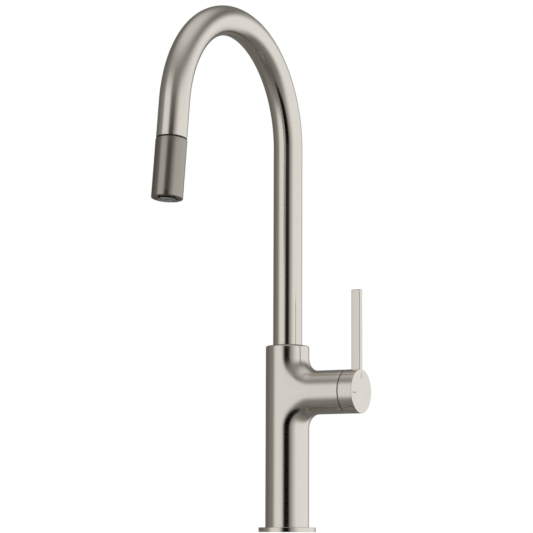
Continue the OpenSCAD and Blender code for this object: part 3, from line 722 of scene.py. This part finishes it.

# %% [markdown]
# The hose is inside the neck at rest, and shows only when the head is pulled out. A short sleeve
# of hose crosses the joint. Its map runs ahead of its shape: V grows as
# rest length t + pull (3 t^2 - 2 t^3), which is how the sleeve lies when it is drawn out, so the
# braid is even just where it is seen.

# %% Pulled hose
HOSE_R = 5.5
HOSE_FROM, HOSE_TO = 11.7, 22.3
PULL_RANGE = next(j for j in frame["joints"] if j["name"] == "hose_pull")["range_m"][1] / MM


def hose_patch(rows=140, around=32):
    t = np.linspace(0, 1, rows + 1)
    s = HOSE_FROM + (HOSE_TO - HOSE_FROM) * t
    outer = np.stack([s, HOSE_R + 0.02 + 0 * s], -1)
    inner = np.stack([s[::-1], HOSE_R - 1.5 + 0 * s], -1)
    outline = np.concatenate([outer, inner, outer[:1]])
    points, uv = go_round(along_neck, outline, around)
    drawn = (HOSE_TO - HOSE_FROM) * t + PULL_RANGE * t**2 * (3 - 2 * t)
    uv[..., 1] = np.concatenate([drawn, drawn[::-1] + HOSE_R, drawn[:1]])[:, None]
    return points, uv


pulled_hose = surface("pulled_hose", [hose_patch()])

# %% [markdown]
# A crimped ferrule ends the hose. The cone behind it centres the head when it docks.

# %% Hose end
FERRULE_START, FERRULE_END, NUT_END = 11.6, 22.6, 44.2
ferrule = turned("crimped_ferrule", along_neck, [
    (FERRULE_START, 5.55, 0), (FERRULE_START, 6.19, 0.3),
    (14.2, 6.19, 0.1), (14.5, 5.95, 0.1), (15.3, 5.95, 0.1),
    (15.6, 6.19, 0.1), (17.8, 6.19, 0.1), (18.1, 5.95, 0.1), (18.9, 5.95, 0.1), (19.2, 6.19, 0.1),
    (FERRULE_END, 6.19, 0.15), (FERRULE_END, 5.55, 0),
], around=48)
cone_in = 3.0
docking_cone = turned("docking_cone", along_neck, [
    (FERRULE_END, cone_in, 0), (FERRULE_END, 6.88, 0.3), (26.1, 7.51, 0), (26.3, 7.3, 0), (26.9, 7.4, 0),
    (27.1, 7.69, 0), (34.2, 8.95, 0.2), (34.25, 6.5, 0), (NUT_END, 6.5, 0.3), (NUT_END, cone_in, 0),
], around=72)

# %% [markdown]
# Under the deck a threaded shank carries two washers and a nut. The thread is a helix: its
# radius is r - depth g(x), where x is the fraction of s / pitch - angle / 360 and g is a ramp up
# and down with flats. It fades out over a turn at both ends, so that no ridge ends as a cliff.

# %% Shank
shank_low, shank_high = box_mm("shank")
SPIGOT_R = shank_high[0]
SPIGOT_END = -8.0
THREAD_R = 16.5
THREAD_DEPTH = 1.0
PITCH = 2.0
SHANK_BORE = 14.5


def thread_patch(around=96, rows_a_turn=10):
    s = np.linspace(SPIGOT_END, shank_low[2], int(-(shank_low[2] - SPIGOT_END) / PITCH * rows_a_turn) + 1)
    angle = np.linspace(0, 2 * np.pi, around + 1)
    x = (s[:, None] / PITCH - angle[None] / (2 * np.pi)) % 1
    g = np.clip(abs(2 * x - 1) * 1.3 - 0.15, 0, 1)
    fade = np.clip(np.minimum(SPIGOT_END - s, s - shank_low[2]) / PITCH, 0, 1)[:, None]
    radius = THREAD_R - THREAD_DEPTH + THREAD_DEPTH * (1 - g) * fade
    points = np.stack([radius * np.cos(angle), radius * np.sin(angle), s[:, None] + 0 * radius], -1)
    uv = np.stack(np.broadcast_arrays(angle[None] * THREAD_R, s[:, None]), -1)
    return points, uv


def shank_patches():
    minor = THREAD_R - THREAD_DEPTH
    low, top = shank_low[2], shank_high[2]
    rest = np.array([
        (low, minor), (low, SHANK_BORE + 0.6), (low + 0.6, SHANK_BORE), (top, SHANK_BORE),
        (top, BORE_R - 0.05), (0, BORE_R - 0.05), (0, SPIGOT_R), (SPIGOT_END + 0.4, SPIGOT_R),
        (SPIGOT_END, SPIGOT_R - 0.4), (SPIGOT_END, minor),
    ])
    return [thread_patch(), go_round(upright(), rest, 96)]


shank = surface("threaded_shank", [flipped(p) for p in shank_patches()])

# %% [markdown]
# The nut is a turned ring that six flats trim: its radius is the smaller of the turned profile,
# which has a cone at both faces, and the hexagon, a / cos(angle - middle of the flat). Where the
# two cross, the curved edge appears that every real nut has.

# %% Nut and washers
nut_low, nut_high = box_mm("mounting_nut")
NUT_FLAT = nut_high[1]


def six_flats(radius, angle):
    step = np.pi / 3
    return np.minimum(radius, NUT_FLAT / np.cos(angle % step - step / 2))


nut_corner = NUT_FLAT / math.cos(math.pi / 6)
nut_profile = rounded_profile([
    (nut_low[2], THREAD_R + 0.1, 0), (nut_low[2], NUT_FLAT * 0.95, 0), (nut_low[2] + 2.4, nut_corner, 0),
    (nut_high[2] - 2.4, nut_corner, 0), (nut_high[2], NUT_FLAT * 0.95, 0), (nut_high[2], THREAD_R + 0.1, 0),
], step=0.4)
nut = surface("hex_nut", [go_round(upright(), nut_profile, 144, six_flats)])


def washer(name, node, rounding):
    low, high = box_mm(node)
    inner = THREAD_R + 0.1
    return turned(name, upright(), [
        (low[2], inner, 0.2), (low[2], high[0], rounding),
        (high[2], high[0], rounding), (high[2], inner, 0.2),
    ], around=96)


rubber = washer("rubber_cushion", "rubber_washer", 1.0)
steel_plate = washer("pressed_washer", "steel_washer", 0.4)

# %% [markdown]
# The lower end of the hose has a turned barrel with two grips and a nipple with a seal groove.

# %% Hose coupling
coupling_low, coupling_high = box_mm("hose_coupling")
coupling_x = (coupling_low[0] + coupling_high[0]) / 2
BARREL_R = (coupling_high[0] - coupling_low[0]) / 2
NIPPLE_R = 4.0
barrel_top = coupling_high[2] - 8
nipple_top = barrel_top - 12
coupling = turned("coupling_barrel", upright(coupling_x), [
    (coupling_low[2], 2, 0.2), (coupling_low[2], NIPPLE_R, 0.6), (nipple_top - 6, NIPPLE_R, 0.1),
    (nipple_top - 6, NIPPLE_R - 0.7, 0.1),
    (nipple_top - 4, NIPPLE_R - 0.7, 0.1), (nipple_top - 4, NIPPLE_R, 0.1),
    (nipple_top, NIPPLE_R, 0), (nipple_top, BARREL_R, 0.5), (nipple_top + 3, BARREL_R, 0.1),
    (nipple_top + 3.5, BARREL_R - 0.5, 0.1), (nipple_top + 4.5, BARREL_R - 0.5, 0.1),
    (nipple_top + 5, BARREL_R, 0.1), (barrel_top, BARREL_R, 0.5), (barrel_top, 2.95, 0),
    (coupling_high[2], 2.95, 0.2), (coupling_high[2], 2, 0),
], around=64)

# %% [markdown]
# Brushed stainless steel is rubbed with a fine belt that runs around the tube. The scratches lie
# around it, so a reflection stays sharp around the tube and smears along it. That is what the
# anisotropic setting does: the map's U direction runs with the scratches, and a rotation of a
# quarter turn puts the wide side of the blur across them. The grain itself only breaks the light
# up a little. Its scratches are drawn 0.8 mm wide, several times the real width, because finer
# ones would be lost between two points of a picture.

# %% Brushed steel


def new_material(name, **values):
    """Material with one Principled shader; values go straight to its sockets."""
    material = bpy.data.materials.new(name)
    material.use_nodes = True
    tree = material.node_tree
    shader = tree.nodes["Principled BSDF"]
    for key, value in values.items():
        shader.inputs[key.replace("_", " ")].default_value = value
    return material, tree, shader


def brushed_steel(name, dark, light, stretch, dull):
    """Steel between two hex colours: stretch is the anisotropy and dull the roughness."""
    material, tree, shader = new_material(
        name, Metallic=1.0, Anisotropic=stretch, Anisotropic_Rotation=0.25
    )
    around = add_node(tree, "ShaderNodeUVMap", uv_map="millimetres").outputs["UV"]
    scratch_place = add_node(
        tree, "ShaderNodeMapping", {"Vector": around, "Scale": (1 / 30, 1 / 0.8, 1)}
    ).outputs["Vector"]
    scratch = add_node(
        tree, "ShaderNodeTexNoise", {"Vector": scratch_place, "Scale": 1.0, "Detail": 3.0}
    ).outputs["Fac"]
    here = add_node(tree, "ShaderNodeTexCoord").outputs["Object"]
    pressure = add_node(
        tree, "ShaderNodeTexNoise", {"Vector": here, "Scale": 1 / (60 * MM), "Detail": 1.0}
    ).outputs["Fac"]
    colour = add_node(
        tree, "ShaderNodeMix", {"Factor": scratch, 6: linear(dark), 7: linear(light)}, data_type="RGBA"
    ).outputs[2]
    tree.links.new(colour, shader.inputs["Base Color"])
    rubbed = add_node(
        tree, "ShaderNodeMapRange", {"Value": pressure, "To Min": dull - 0.01, "To Max": dull + 0.01}
    ).outputs["Result"]
    tree.links.new(rubbed, shader.inputs["Roughness"])
    bump = add_node(
        tree, "ShaderNodeBump", {"Strength": 1.0, "Distance": 0.0008 * MM, "Height": scratch}
    ).outputs["Normal"]
    tree.links.new(bump, shader.inputs["Normal"])
    grain = add_node(tree, "ShaderNodeTangent", direction_type="UV_MAP", uv_map="millimetres").outputs[0]
    tree.links.new(grain, shader.inputs["Tangent"])
    return material


# Warm pale grey: nickel in stainless steel takes a little of the blue away.
belt_brushed_steel = brushed_steel("belt_brushed_steel", "#DBD6CD", "#E3DED5", 0.92, 0.158)
# The spray head is drawn deeper and tinted, so it reads as a separate, darker part.
gunmetal_steel = brushed_steel("gunmetal_brushed_steel", "#A49E95", "#ACA69D", 0.7, 0.22)
print("brushed:", belt_brushed_steel.name, gunmetal_steel.name)

# %% [markdown]
# The other finishes follow how the real parts are made. They use the object's own coordinates,
# because the CAD meshes carry no map. Their patterns are stretched noise: thin rings for turned
# metal, fine grain for rubber, and almost nothing on fired ceramic.

# %% Turned metal, rubber, plastic and ceramic


def worked(name, dark, light, size_mm, roughness, bump_mm, **values):
    """Finish from noise: spots of size_mm along x, y and z choose the colour and the roughness
    between two values each, and raise the surface by up to bump_mm."""
    material, tree, shader = new_material(name, **values)
    here = add_node(tree, "ShaderNodeTexCoord").outputs["Object"]
    stretched = add_node(
        tree, "ShaderNodeMapping", {"Vector": here, "Scale": [1 / (size * MM) for size in size_mm]}
    ).outputs["Vector"]
    spots = add_node(
        tree, "ShaderNodeTexNoise", {"Vector": stretched, "Scale": 1.0, "Detail": 4.0}
    ).outputs["Fac"]
    colour = add_node(
        tree, "ShaderNodeMix", {"Factor": spots, 6: linear(dark), 7: linear(light)}, data_type="RGBA"
    ).outputs[2]
    tree.links.new(colour, shader.inputs["Base Color"])
    dull = add_node(
        tree, "ShaderNodeMapRange", {"Value": spots, "To Min": roughness[0], "To Max": roughness[1]}
    ).outputs["Result"]
    tree.links.new(dull, shader.inputs["Roughness"])
    raised = add_node(
        tree, "ShaderNodeBump", {"Strength": 0.6, "Distance": bump_mm * MM, "Height": spots}
    ).outputs["Normal"]
    tree.links.new(raised, shader.inputs["Normal"])
    return material


RINGS = (20, 20, 0.5)
# Zinc plate over turned steel: a cool grey with fine tool rings.
zinc_plated_steel = worked("zinc_plated_steel", "#A9ADB0", "#C3C6C8", RINGS, (0.3, 0.45), 0.004, Metallic=1.0)
# Dezincified-resistant brass, straight off the lathe: yellow, ringed, not polished.
turned_brass = worked("turned_brass", "#B5934F", "#CDAE6B", RINGS, (0.25, 0.4), 0.004, Metallic=1.0)
# Moulded rubber: nearly black, dull, with a pale bloom in patches.
moulded_rubber = worked("moulded_epdm_rubber", "#171717", "#262524", (1.2, 1.2, 1.2), (0.7, 0.88), 0.02)
# Black acetal is waxy and slides well, so it is smoother than rubber.
black_acetal = worked("black_acetal", "#141414", "#1C1C1C", (0.8, 0.8, 0.8), (0.38, 0.5), 0.006)
# White acetal lets a little light in.
white_acetal = worked("white_acetal", "#DEDCD4", "#E8E6DF", (1, 1, 1), (0.35, 0.45), 0.006)
# Fired alumina, lapped to a near mirror so that two discs seal.
lapped_ceramic = worked(
    "lapped_alumina", "#E6E2D8", "#EFECE4", (2, 2, 2), (0.1, 0.16), 0.001, Coat_Weight=0.5
)
# Silicone for the nozzle plate: mid grey, matte and very even.
nozzle_silicone = worked("nozzle_silicone", "#737472", "#7E7F7D", (0.6, 0.6, 0.6), (0.5, 0.62), 0.01)
print("worked finishes:", [m.name for m in bpy.data.materials][-7:])

# %% [markdown]
# The two marks are filled with baked enamel, which is glossy and slightly domed.

# %% Enamel
blue_enamel = worked(
    "blue_enamel", "#5C7F9E", "#6587A6", (0.5, 0.5, 0.5), (0.25, 0.35), 0.002, Coat_Weight=0.6
)
red_enamel = worked(
    "red_enamel", "#B04A3C", "#BA5446", (0.5, 0.5, 0.5), (0.25, 0.35), 0.002, Coat_Weight=0.6
)
print("enamels:", blue_enamel.name, red_enamel.name)

# %% [markdown]
# The hose is covered with a nylon braid. Two families of strands cross each other at an angle,
# and the sign of sin(u + v) sin(u - v) says which family is on top. Where the strands part, the
# colour goes to near black: that is painted shade in the creases.

# %% Braided nylon
STRANDS_AROUND = 16
STRAND_ALONG = 2.6


def braided_nylon(name, map_name):
    material, tree, shader = new_material(name, Sheen_Weight=0.2, Sheen_Roughness=0.4)
    if map_name:
        place = add_node(tree, "ShaderNodeUVMap", uv_map=map_name).outputs["UV"]
        scale = (STRANDS_AROUND / (2 * (HOSE_R + 0.02)), math.pi / STRAND_ALONG, 1)
    else:
        place = add_node(tree, "ShaderNodeTexCoord").outputs["Object"]
        place = add_node(
            tree, "ShaderNodeMapping", {"Vector": place, "Rotation": (math.pi / 2, 0, 0)}
        ).outputs[0]
        scale = [math.pi / (STRAND_ALONG * MM)] * 3
    scaled = add_node(tree, "ShaderNodeMapping", {"Vector": place, "Scale": scale}).outputs["Vector"]
    axes = add_node(tree, "ShaderNodeSeparateXYZ", {0: scaled}).outputs
    waves = []
    for operation in ("ADD", "SUBTRACT"):
        slant = add_node(tree, "ShaderNodeMath", {0: axes["X"], 1: axes["Y"]}, operation=operation).outputs[0]
        waves.append(add_node(tree, "ShaderNodeMath", {0: slant}, operation="SINE").outputs[0])
    product = add_node(tree, "ShaderNodeMath", {0: waves[0], 1: waves[1]}, operation="MULTIPLY").outputs[0]
    over = add_node(tree, "ShaderNodeMath", {0: product, 1: 0.0}, operation="GREATER_THAN").outputs[0]
    height = add_node(tree, "ShaderNodeMath", {0: product}, operation="ABSOLUTE").outputs[0]
    height = add_node(tree, "ShaderNodeMath", {0: height, 1: 0.5}, operation="POWER").outputs[0]
    strands = add_node(
        tree, "ShaderNodeMix", {"Factor": over, 6: linear("#2B2B2C"), 7: linear("#3A3A3B")}, data_type="RGBA"
    ).outputs[2]
    # Painted shade: in the creases where the strands part, the colour goes to near black #0E0E0E.
    shaded = add_node(
        tree, "ShaderNodeMix", {"Factor": height, 6: linear("#0E0E0E"), 7: strands}, data_type="RGBA"
    ).outputs[2]
    tree.links.new(shaded, shader.inputs["Base Color"])
    dull = add_node(
        tree, "ShaderNodeMapRange", {"Value": height, "To Min": 0.7, "To Max": 0.45}
    ).outputs["Result"]
    tree.links.new(dull, shader.inputs["Roughness"])
    woven = add_node(
        tree, "ShaderNodeBump", {"Strength": 0.8, "Distance": 0.25 * MM, "Height": height}
    ).outputs["Normal"]
    tree.links.new(woven, shader.inputs["Normal"])
    return material


sleeve_braid = braided_nylon("braided_nylon_sleeve", "millimetres")
hose_braid = braided_nylon("braided_nylon_hose", "")
print("braids:", sleeve_braid.name, hose_braid.name)

# %% [markdown]
# Now each new piece is told its finish, the body that it moves with, and the CAD node that it
# stands for. The CAD nodes that stay get their finish by the material slot of the record.

# %% Dressing


def dress(piece, material, body, slot, *nodes):
    piece.data.materials.clear()
    piece.data.materials.append(material)
    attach(piece, body)
    if nodes:
        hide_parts(*nodes)


dress(body, belt_brushed_steel, "base", "brushed_steel", "body_tube", "arm_tube", "arm_blend")
dress(base_flange, belt_brushed_steel, "base", "brushed_steel", "base_ring")
dress(gooseneck, belt_brushed_steel, "neck", "brushed_steel", "neck_tube")
dress(cap, belt_brushed_steel, "lever", "brushed_steel", "handle_cap")
dress(blade, belt_brushed_steel, "lever", "brushed_steel", "lever_blade")
dress(cold, blue_enamel, "lever", "cold_enamel", "cold_mark")
dress(hot, red_enamel, "lever", "hot_enamel", "hot_mark")
dress(head_shell, gunmetal_steel, "spray_head", "brushed_steel", "spray_shell")
dress(face_trim, gunmetal_steel, "spray_head", "brushed_steel", "outlet_ring")
dress(nozzles, nozzle_silicone, "spray_head", "grey_plastic")
dress(seats, black_acetal, "spray_head", "black_plastic")
dress(face_liner, black_acetal, "spray_head", "black_plastic")
dress(face_collar, black_acetal, "spray_head", "black_plastic")
dress(slots, black_acetal, "spray_head", "black_plastic")
dress(slip_ring, black_acetal, "base", "black_plastic")
dress(ferrule, zinc_plated_steel, "hose_end", "zinc_steel", "hose_ferrule")
dress(docking_cone, turned_brass, "hose_end", "brass", "hose_nut")
dress(shank, zinc_plated_steel, "base", "zinc_steel", "shank")
dress(nut, turned_brass, "base", "brass", "mounting_nut")
dress(rubber, moulded_rubber, "base", "black_rubber", "rubber_washer")
dress(steel_plate, zinc_plated_steel, "base", "zinc_steel", "steel_washer")
dress(coupling, turned_brass, "base", "brass", "hose_coupling")

pulled_hose.data.materials.append(sleeve_braid)
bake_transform(pulled_hose)

SLOT_FINISH = {
    "brushed_steel": belt_brushed_steel,
    "zinc_steel": zinc_plated_steel,
    "brass": turned_brass,
    "black_rubber": moulded_rubber,
    "black_plastic": black_acetal,
    "white_plastic": white_acetal,
    "white_ceramic": lapped_ceramic,
    "grey_plastic": nozzle_silicone,
    "hose_cover": hose_braid,
    "cold_enamel": blue_enamel,
    "hot_enamel": red_enamel,
}
for part in frame["record"]["subparts"]:
    node = frame["nodes"][part["node"]]
    for place in node.material_slots:
        place.material = SLOT_FINISH[part["material_slot"]]

# %% [markdown]
# The floor is the sink's deck: pale, matte and plain, so the faucet's shadow shows on it. The
# rays that see it get a little white on top, which brings the unshaded deck up to full white.

# %% Floor
FLOOR_HALF = 3.0
DECK_LIFT = 0.36
floor_mesh = bpy.data.meshes.new("deck")
corner = FLOOR_HALF * np.array([(-1, -1, 0), (1, -1, 0), (1, 1, 0), (-1, 1, 0)])
floor_mesh.from_pydata(corner.tolist(), [], [(0, 1, 2, 3)])
floor = bpy.data.objects.new("deck", floor_mesh)
bpy.context.scene.collection.objects.link(floor)
floor.visible_glossy = False
pale_deck, deck_tree, deck_shader = new_material("pale_matte_deck", Roughness=0.9)
deck_place = add_node(deck_tree, "ShaderNodeTexCoord").outputs["Object"]
deck_grain = add_node(
    deck_tree, "ShaderNodeTexNoise", {"Vector": deck_place, "Scale": 1 / (8 * MM), "Detail": 2.0}
).outputs["Fac"]
deck_colour = add_node(
    deck_tree, "ShaderNodeMix", {"Factor": deck_grain, 6: linear("#EDEDEB"), 7: linear("#F1F1EF")},
    data_type="RGBA",
).outputs[2]
deck_tree.links.new(deck_colour, deck_shader.inputs["Base Color"])
deck_path = add_node(deck_tree, "ShaderNodeLightPath").outputs
deck_seen = deck_path["Is Camera Ray"]
for kind in ("Is Glossy Ray", "Is Transmission Ray"):
    deck_seen = add_node(
        deck_tree, "ShaderNodeMath", {0: deck_seen, 1: deck_path[kind]}, operation="MAXIMUM"
    ).outputs[0]
deck_lift = add_node(
    deck_tree, "ShaderNodeMath", {0: deck_seen, 1: DECK_LIFT}, operation="MULTIPLY"
).outputs[0]
deck_tree.links.new(deck_lift, deck_shader.inputs["Emission Strength"])
deck_shader.inputs["Emission Color"].default_value = (1, 1, 1, 1)
floor_mesh.materials.append(pale_deck)
print("deck:", 2 * FLOOR_HALF, "m wide")

# %% [markdown]
# Polished metal has almost no look of its own: it shows what stands around it. In plain white it
# would be flat white. A photographer hangs a tent of thin cloth around it, with brighter windows
# and darker cards, and one black flag beside the camera, whose dark line down every tube makes
# the tube read as round. The tent here is a wide ball that only glossy rays meet. It lets a part
# of the white background through, more or less by compass angle and height: each card covers
# what was hung before it, with soft edges.

# %% Studio tent
TENT_RADIUS = 20.0
# In degrees: the middle to the right of the camera and half the width, the lower and the upper
# edge in height, how soft the sides and the ends are. Last, the colour of the cloth. An upright
# tube mirrors the whole circle once: its middle shows the camera's side, and its rims the back.
CARDS = [
    ("#8C8A86",),  # the room itself
    (0, 200, 60, 120, 30, 40, "#DADADA"),  # ceiling cloth
    (0, 200, -120, -60, 30, 40, "#666462"),  # table below
    (180, 70, -60, 50, 30, 30, "#74726E"),  # grey wall behind
    (90, 60, -30, 30, 50, 30, "#FAFAFA"),  # wide window on the right
    (-50, 25, -30, 40, 30, 30, "#F0F0F0"),  # narrow window on the left
    (-5, 15, -60, 20, 15, 15, "#000000"),  # black flag beside the camera
]


def tent_cloth():
    """Clear shader whose tint is the cloth. A card's share is the product of three soft steps, of
    the angle from its middle and of the height above its lower and below its upper edge."""
    material = bpy.data.materials.new("tent_cloth")
    material.use_nodes = True
    tree = material.node_tree
    tree.nodes.clear()
    place = add_node(tree, "ShaderNodeTexCoord").outputs["Object"]
    ray = add_node(tree, "ShaderNodeVectorMath", {0: place}, operation="NORMALIZE").outputs[0]
    axes = add_node(tree, "ShaderNodeSeparateXYZ", {0: ray}).outputs
    ahead = add_node(tree, "ShaderNodeMath", {0: axes["Y"], 1: -1.0}, operation="MULTIPLY").outputs[0]
    angle = add_node(tree, "ShaderNodeMath", {0: axes["X"], 1: ahead}, operation="ARCTAN2").outputs[0]
    height = add_node(tree, "ShaderNodeMath", {0: axes["Z"]}, operation="ARCSINE").outputs[0]
    look = linear(CARDS[0][0])
    for middle, half, low, high, soft_side, soft_end, colour in CARDS[1:]:
        off = add_node(
            tree, "ShaderNodeMath", {0: angle, 1: CAMERA_AZIMUTH + math.radians(middle)}, operation="SUBTRACT"
        ).outputs[0]
        away = add_node(tree, "ShaderNodeMath", {0: off, 1: math.pi}, operation="PINGPONG").outputs[0]
        share = 1.0
        for source, outer, inner in (
            (away, half + soft_side / 2, half - soft_side / 2),
            (height, low - soft_end / 2, low + soft_end / 2),
            (height, high + soft_end / 2, high - soft_end / 2),
        ):
            step = add_node(
                tree, "ShaderNodeMapRange",
                {"Value": source, "From Min": math.radians(outer), "From Max": math.radians(inner)},
                interpolation_type="SMOOTHSTEP",
            ).outputs["Result"]
            share = add_node(tree, "ShaderNodeMath", {0: step, 1: share}, operation="MULTIPLY").outputs[0]
        look = add_node(
            tree, "ShaderNodeMix", {"Factor": share, 6: look, 7: linear(colour)}, data_type="RGBA"
        ).outputs[2]
    cloth = add_node(tree, "ShaderNodeBsdfTransparent", {"Color": look}).outputs[0]
    add_node(tree, "ShaderNodeOutputMaterial", {"Surface": cloth})
    return material


def ball_patch(radius):
    """Ball: (r cos e cos a, r cos e sin a, r sin e) with the height angle e from pole to pole."""
    e = np.linspace(-np.pi / 2, np.pi / 2, 25)[:, None]
    a = np.linspace(0, 2 * np.pi, 49)[None]
    ball = np.broadcast_arrays(np.cos(e) * np.cos(a), np.cos(e) * np.sin(a), np.sin(e))
    points = radius / MM * np.stack(ball, -1)
    return points, np.stack(np.broadcast_arrays(a, e), -1)


tent = surface("studio_tent", [ball_patch(TENT_RADIUS)])
tent.data.materials.append(tent_cloth())
tent.visible_camera = tent.visible_diffuse = tent.visible_transmission = tent.visible_shadow = False
print("tent cards:", len(CARDS))

# %% [markdown]
# One large soft lamp hangs over the faucet. It gives the deck its shadow and the dull parts
# their shape. Glossy rays don't meet it, because the tent stands there for all studio lights.

# %% Soft lamp
lamp_data = bpy.data.lights.new("soft_lamp", "AREA")
lamp_data.shape = "DISK"
lamp_data.size = 1.2
lamp_data.energy = 9
lamp = bpy.data.objects.new("soft_lamp", lamp_data)
lamp.location = (-0.5, -0.7, 1.7)
lamp.rotation_euler = (-lamp.location).to_track_quat("-Z", "Y").to_euler()
lamp.visible_glossy = False
bpy.context.scene.collection.objects.link(lamp)
bpy.context.scene.view_settings.view_transform = "Standard"
print("lamp:", lamp_data.energy, "W")

# %% Import of json
import json
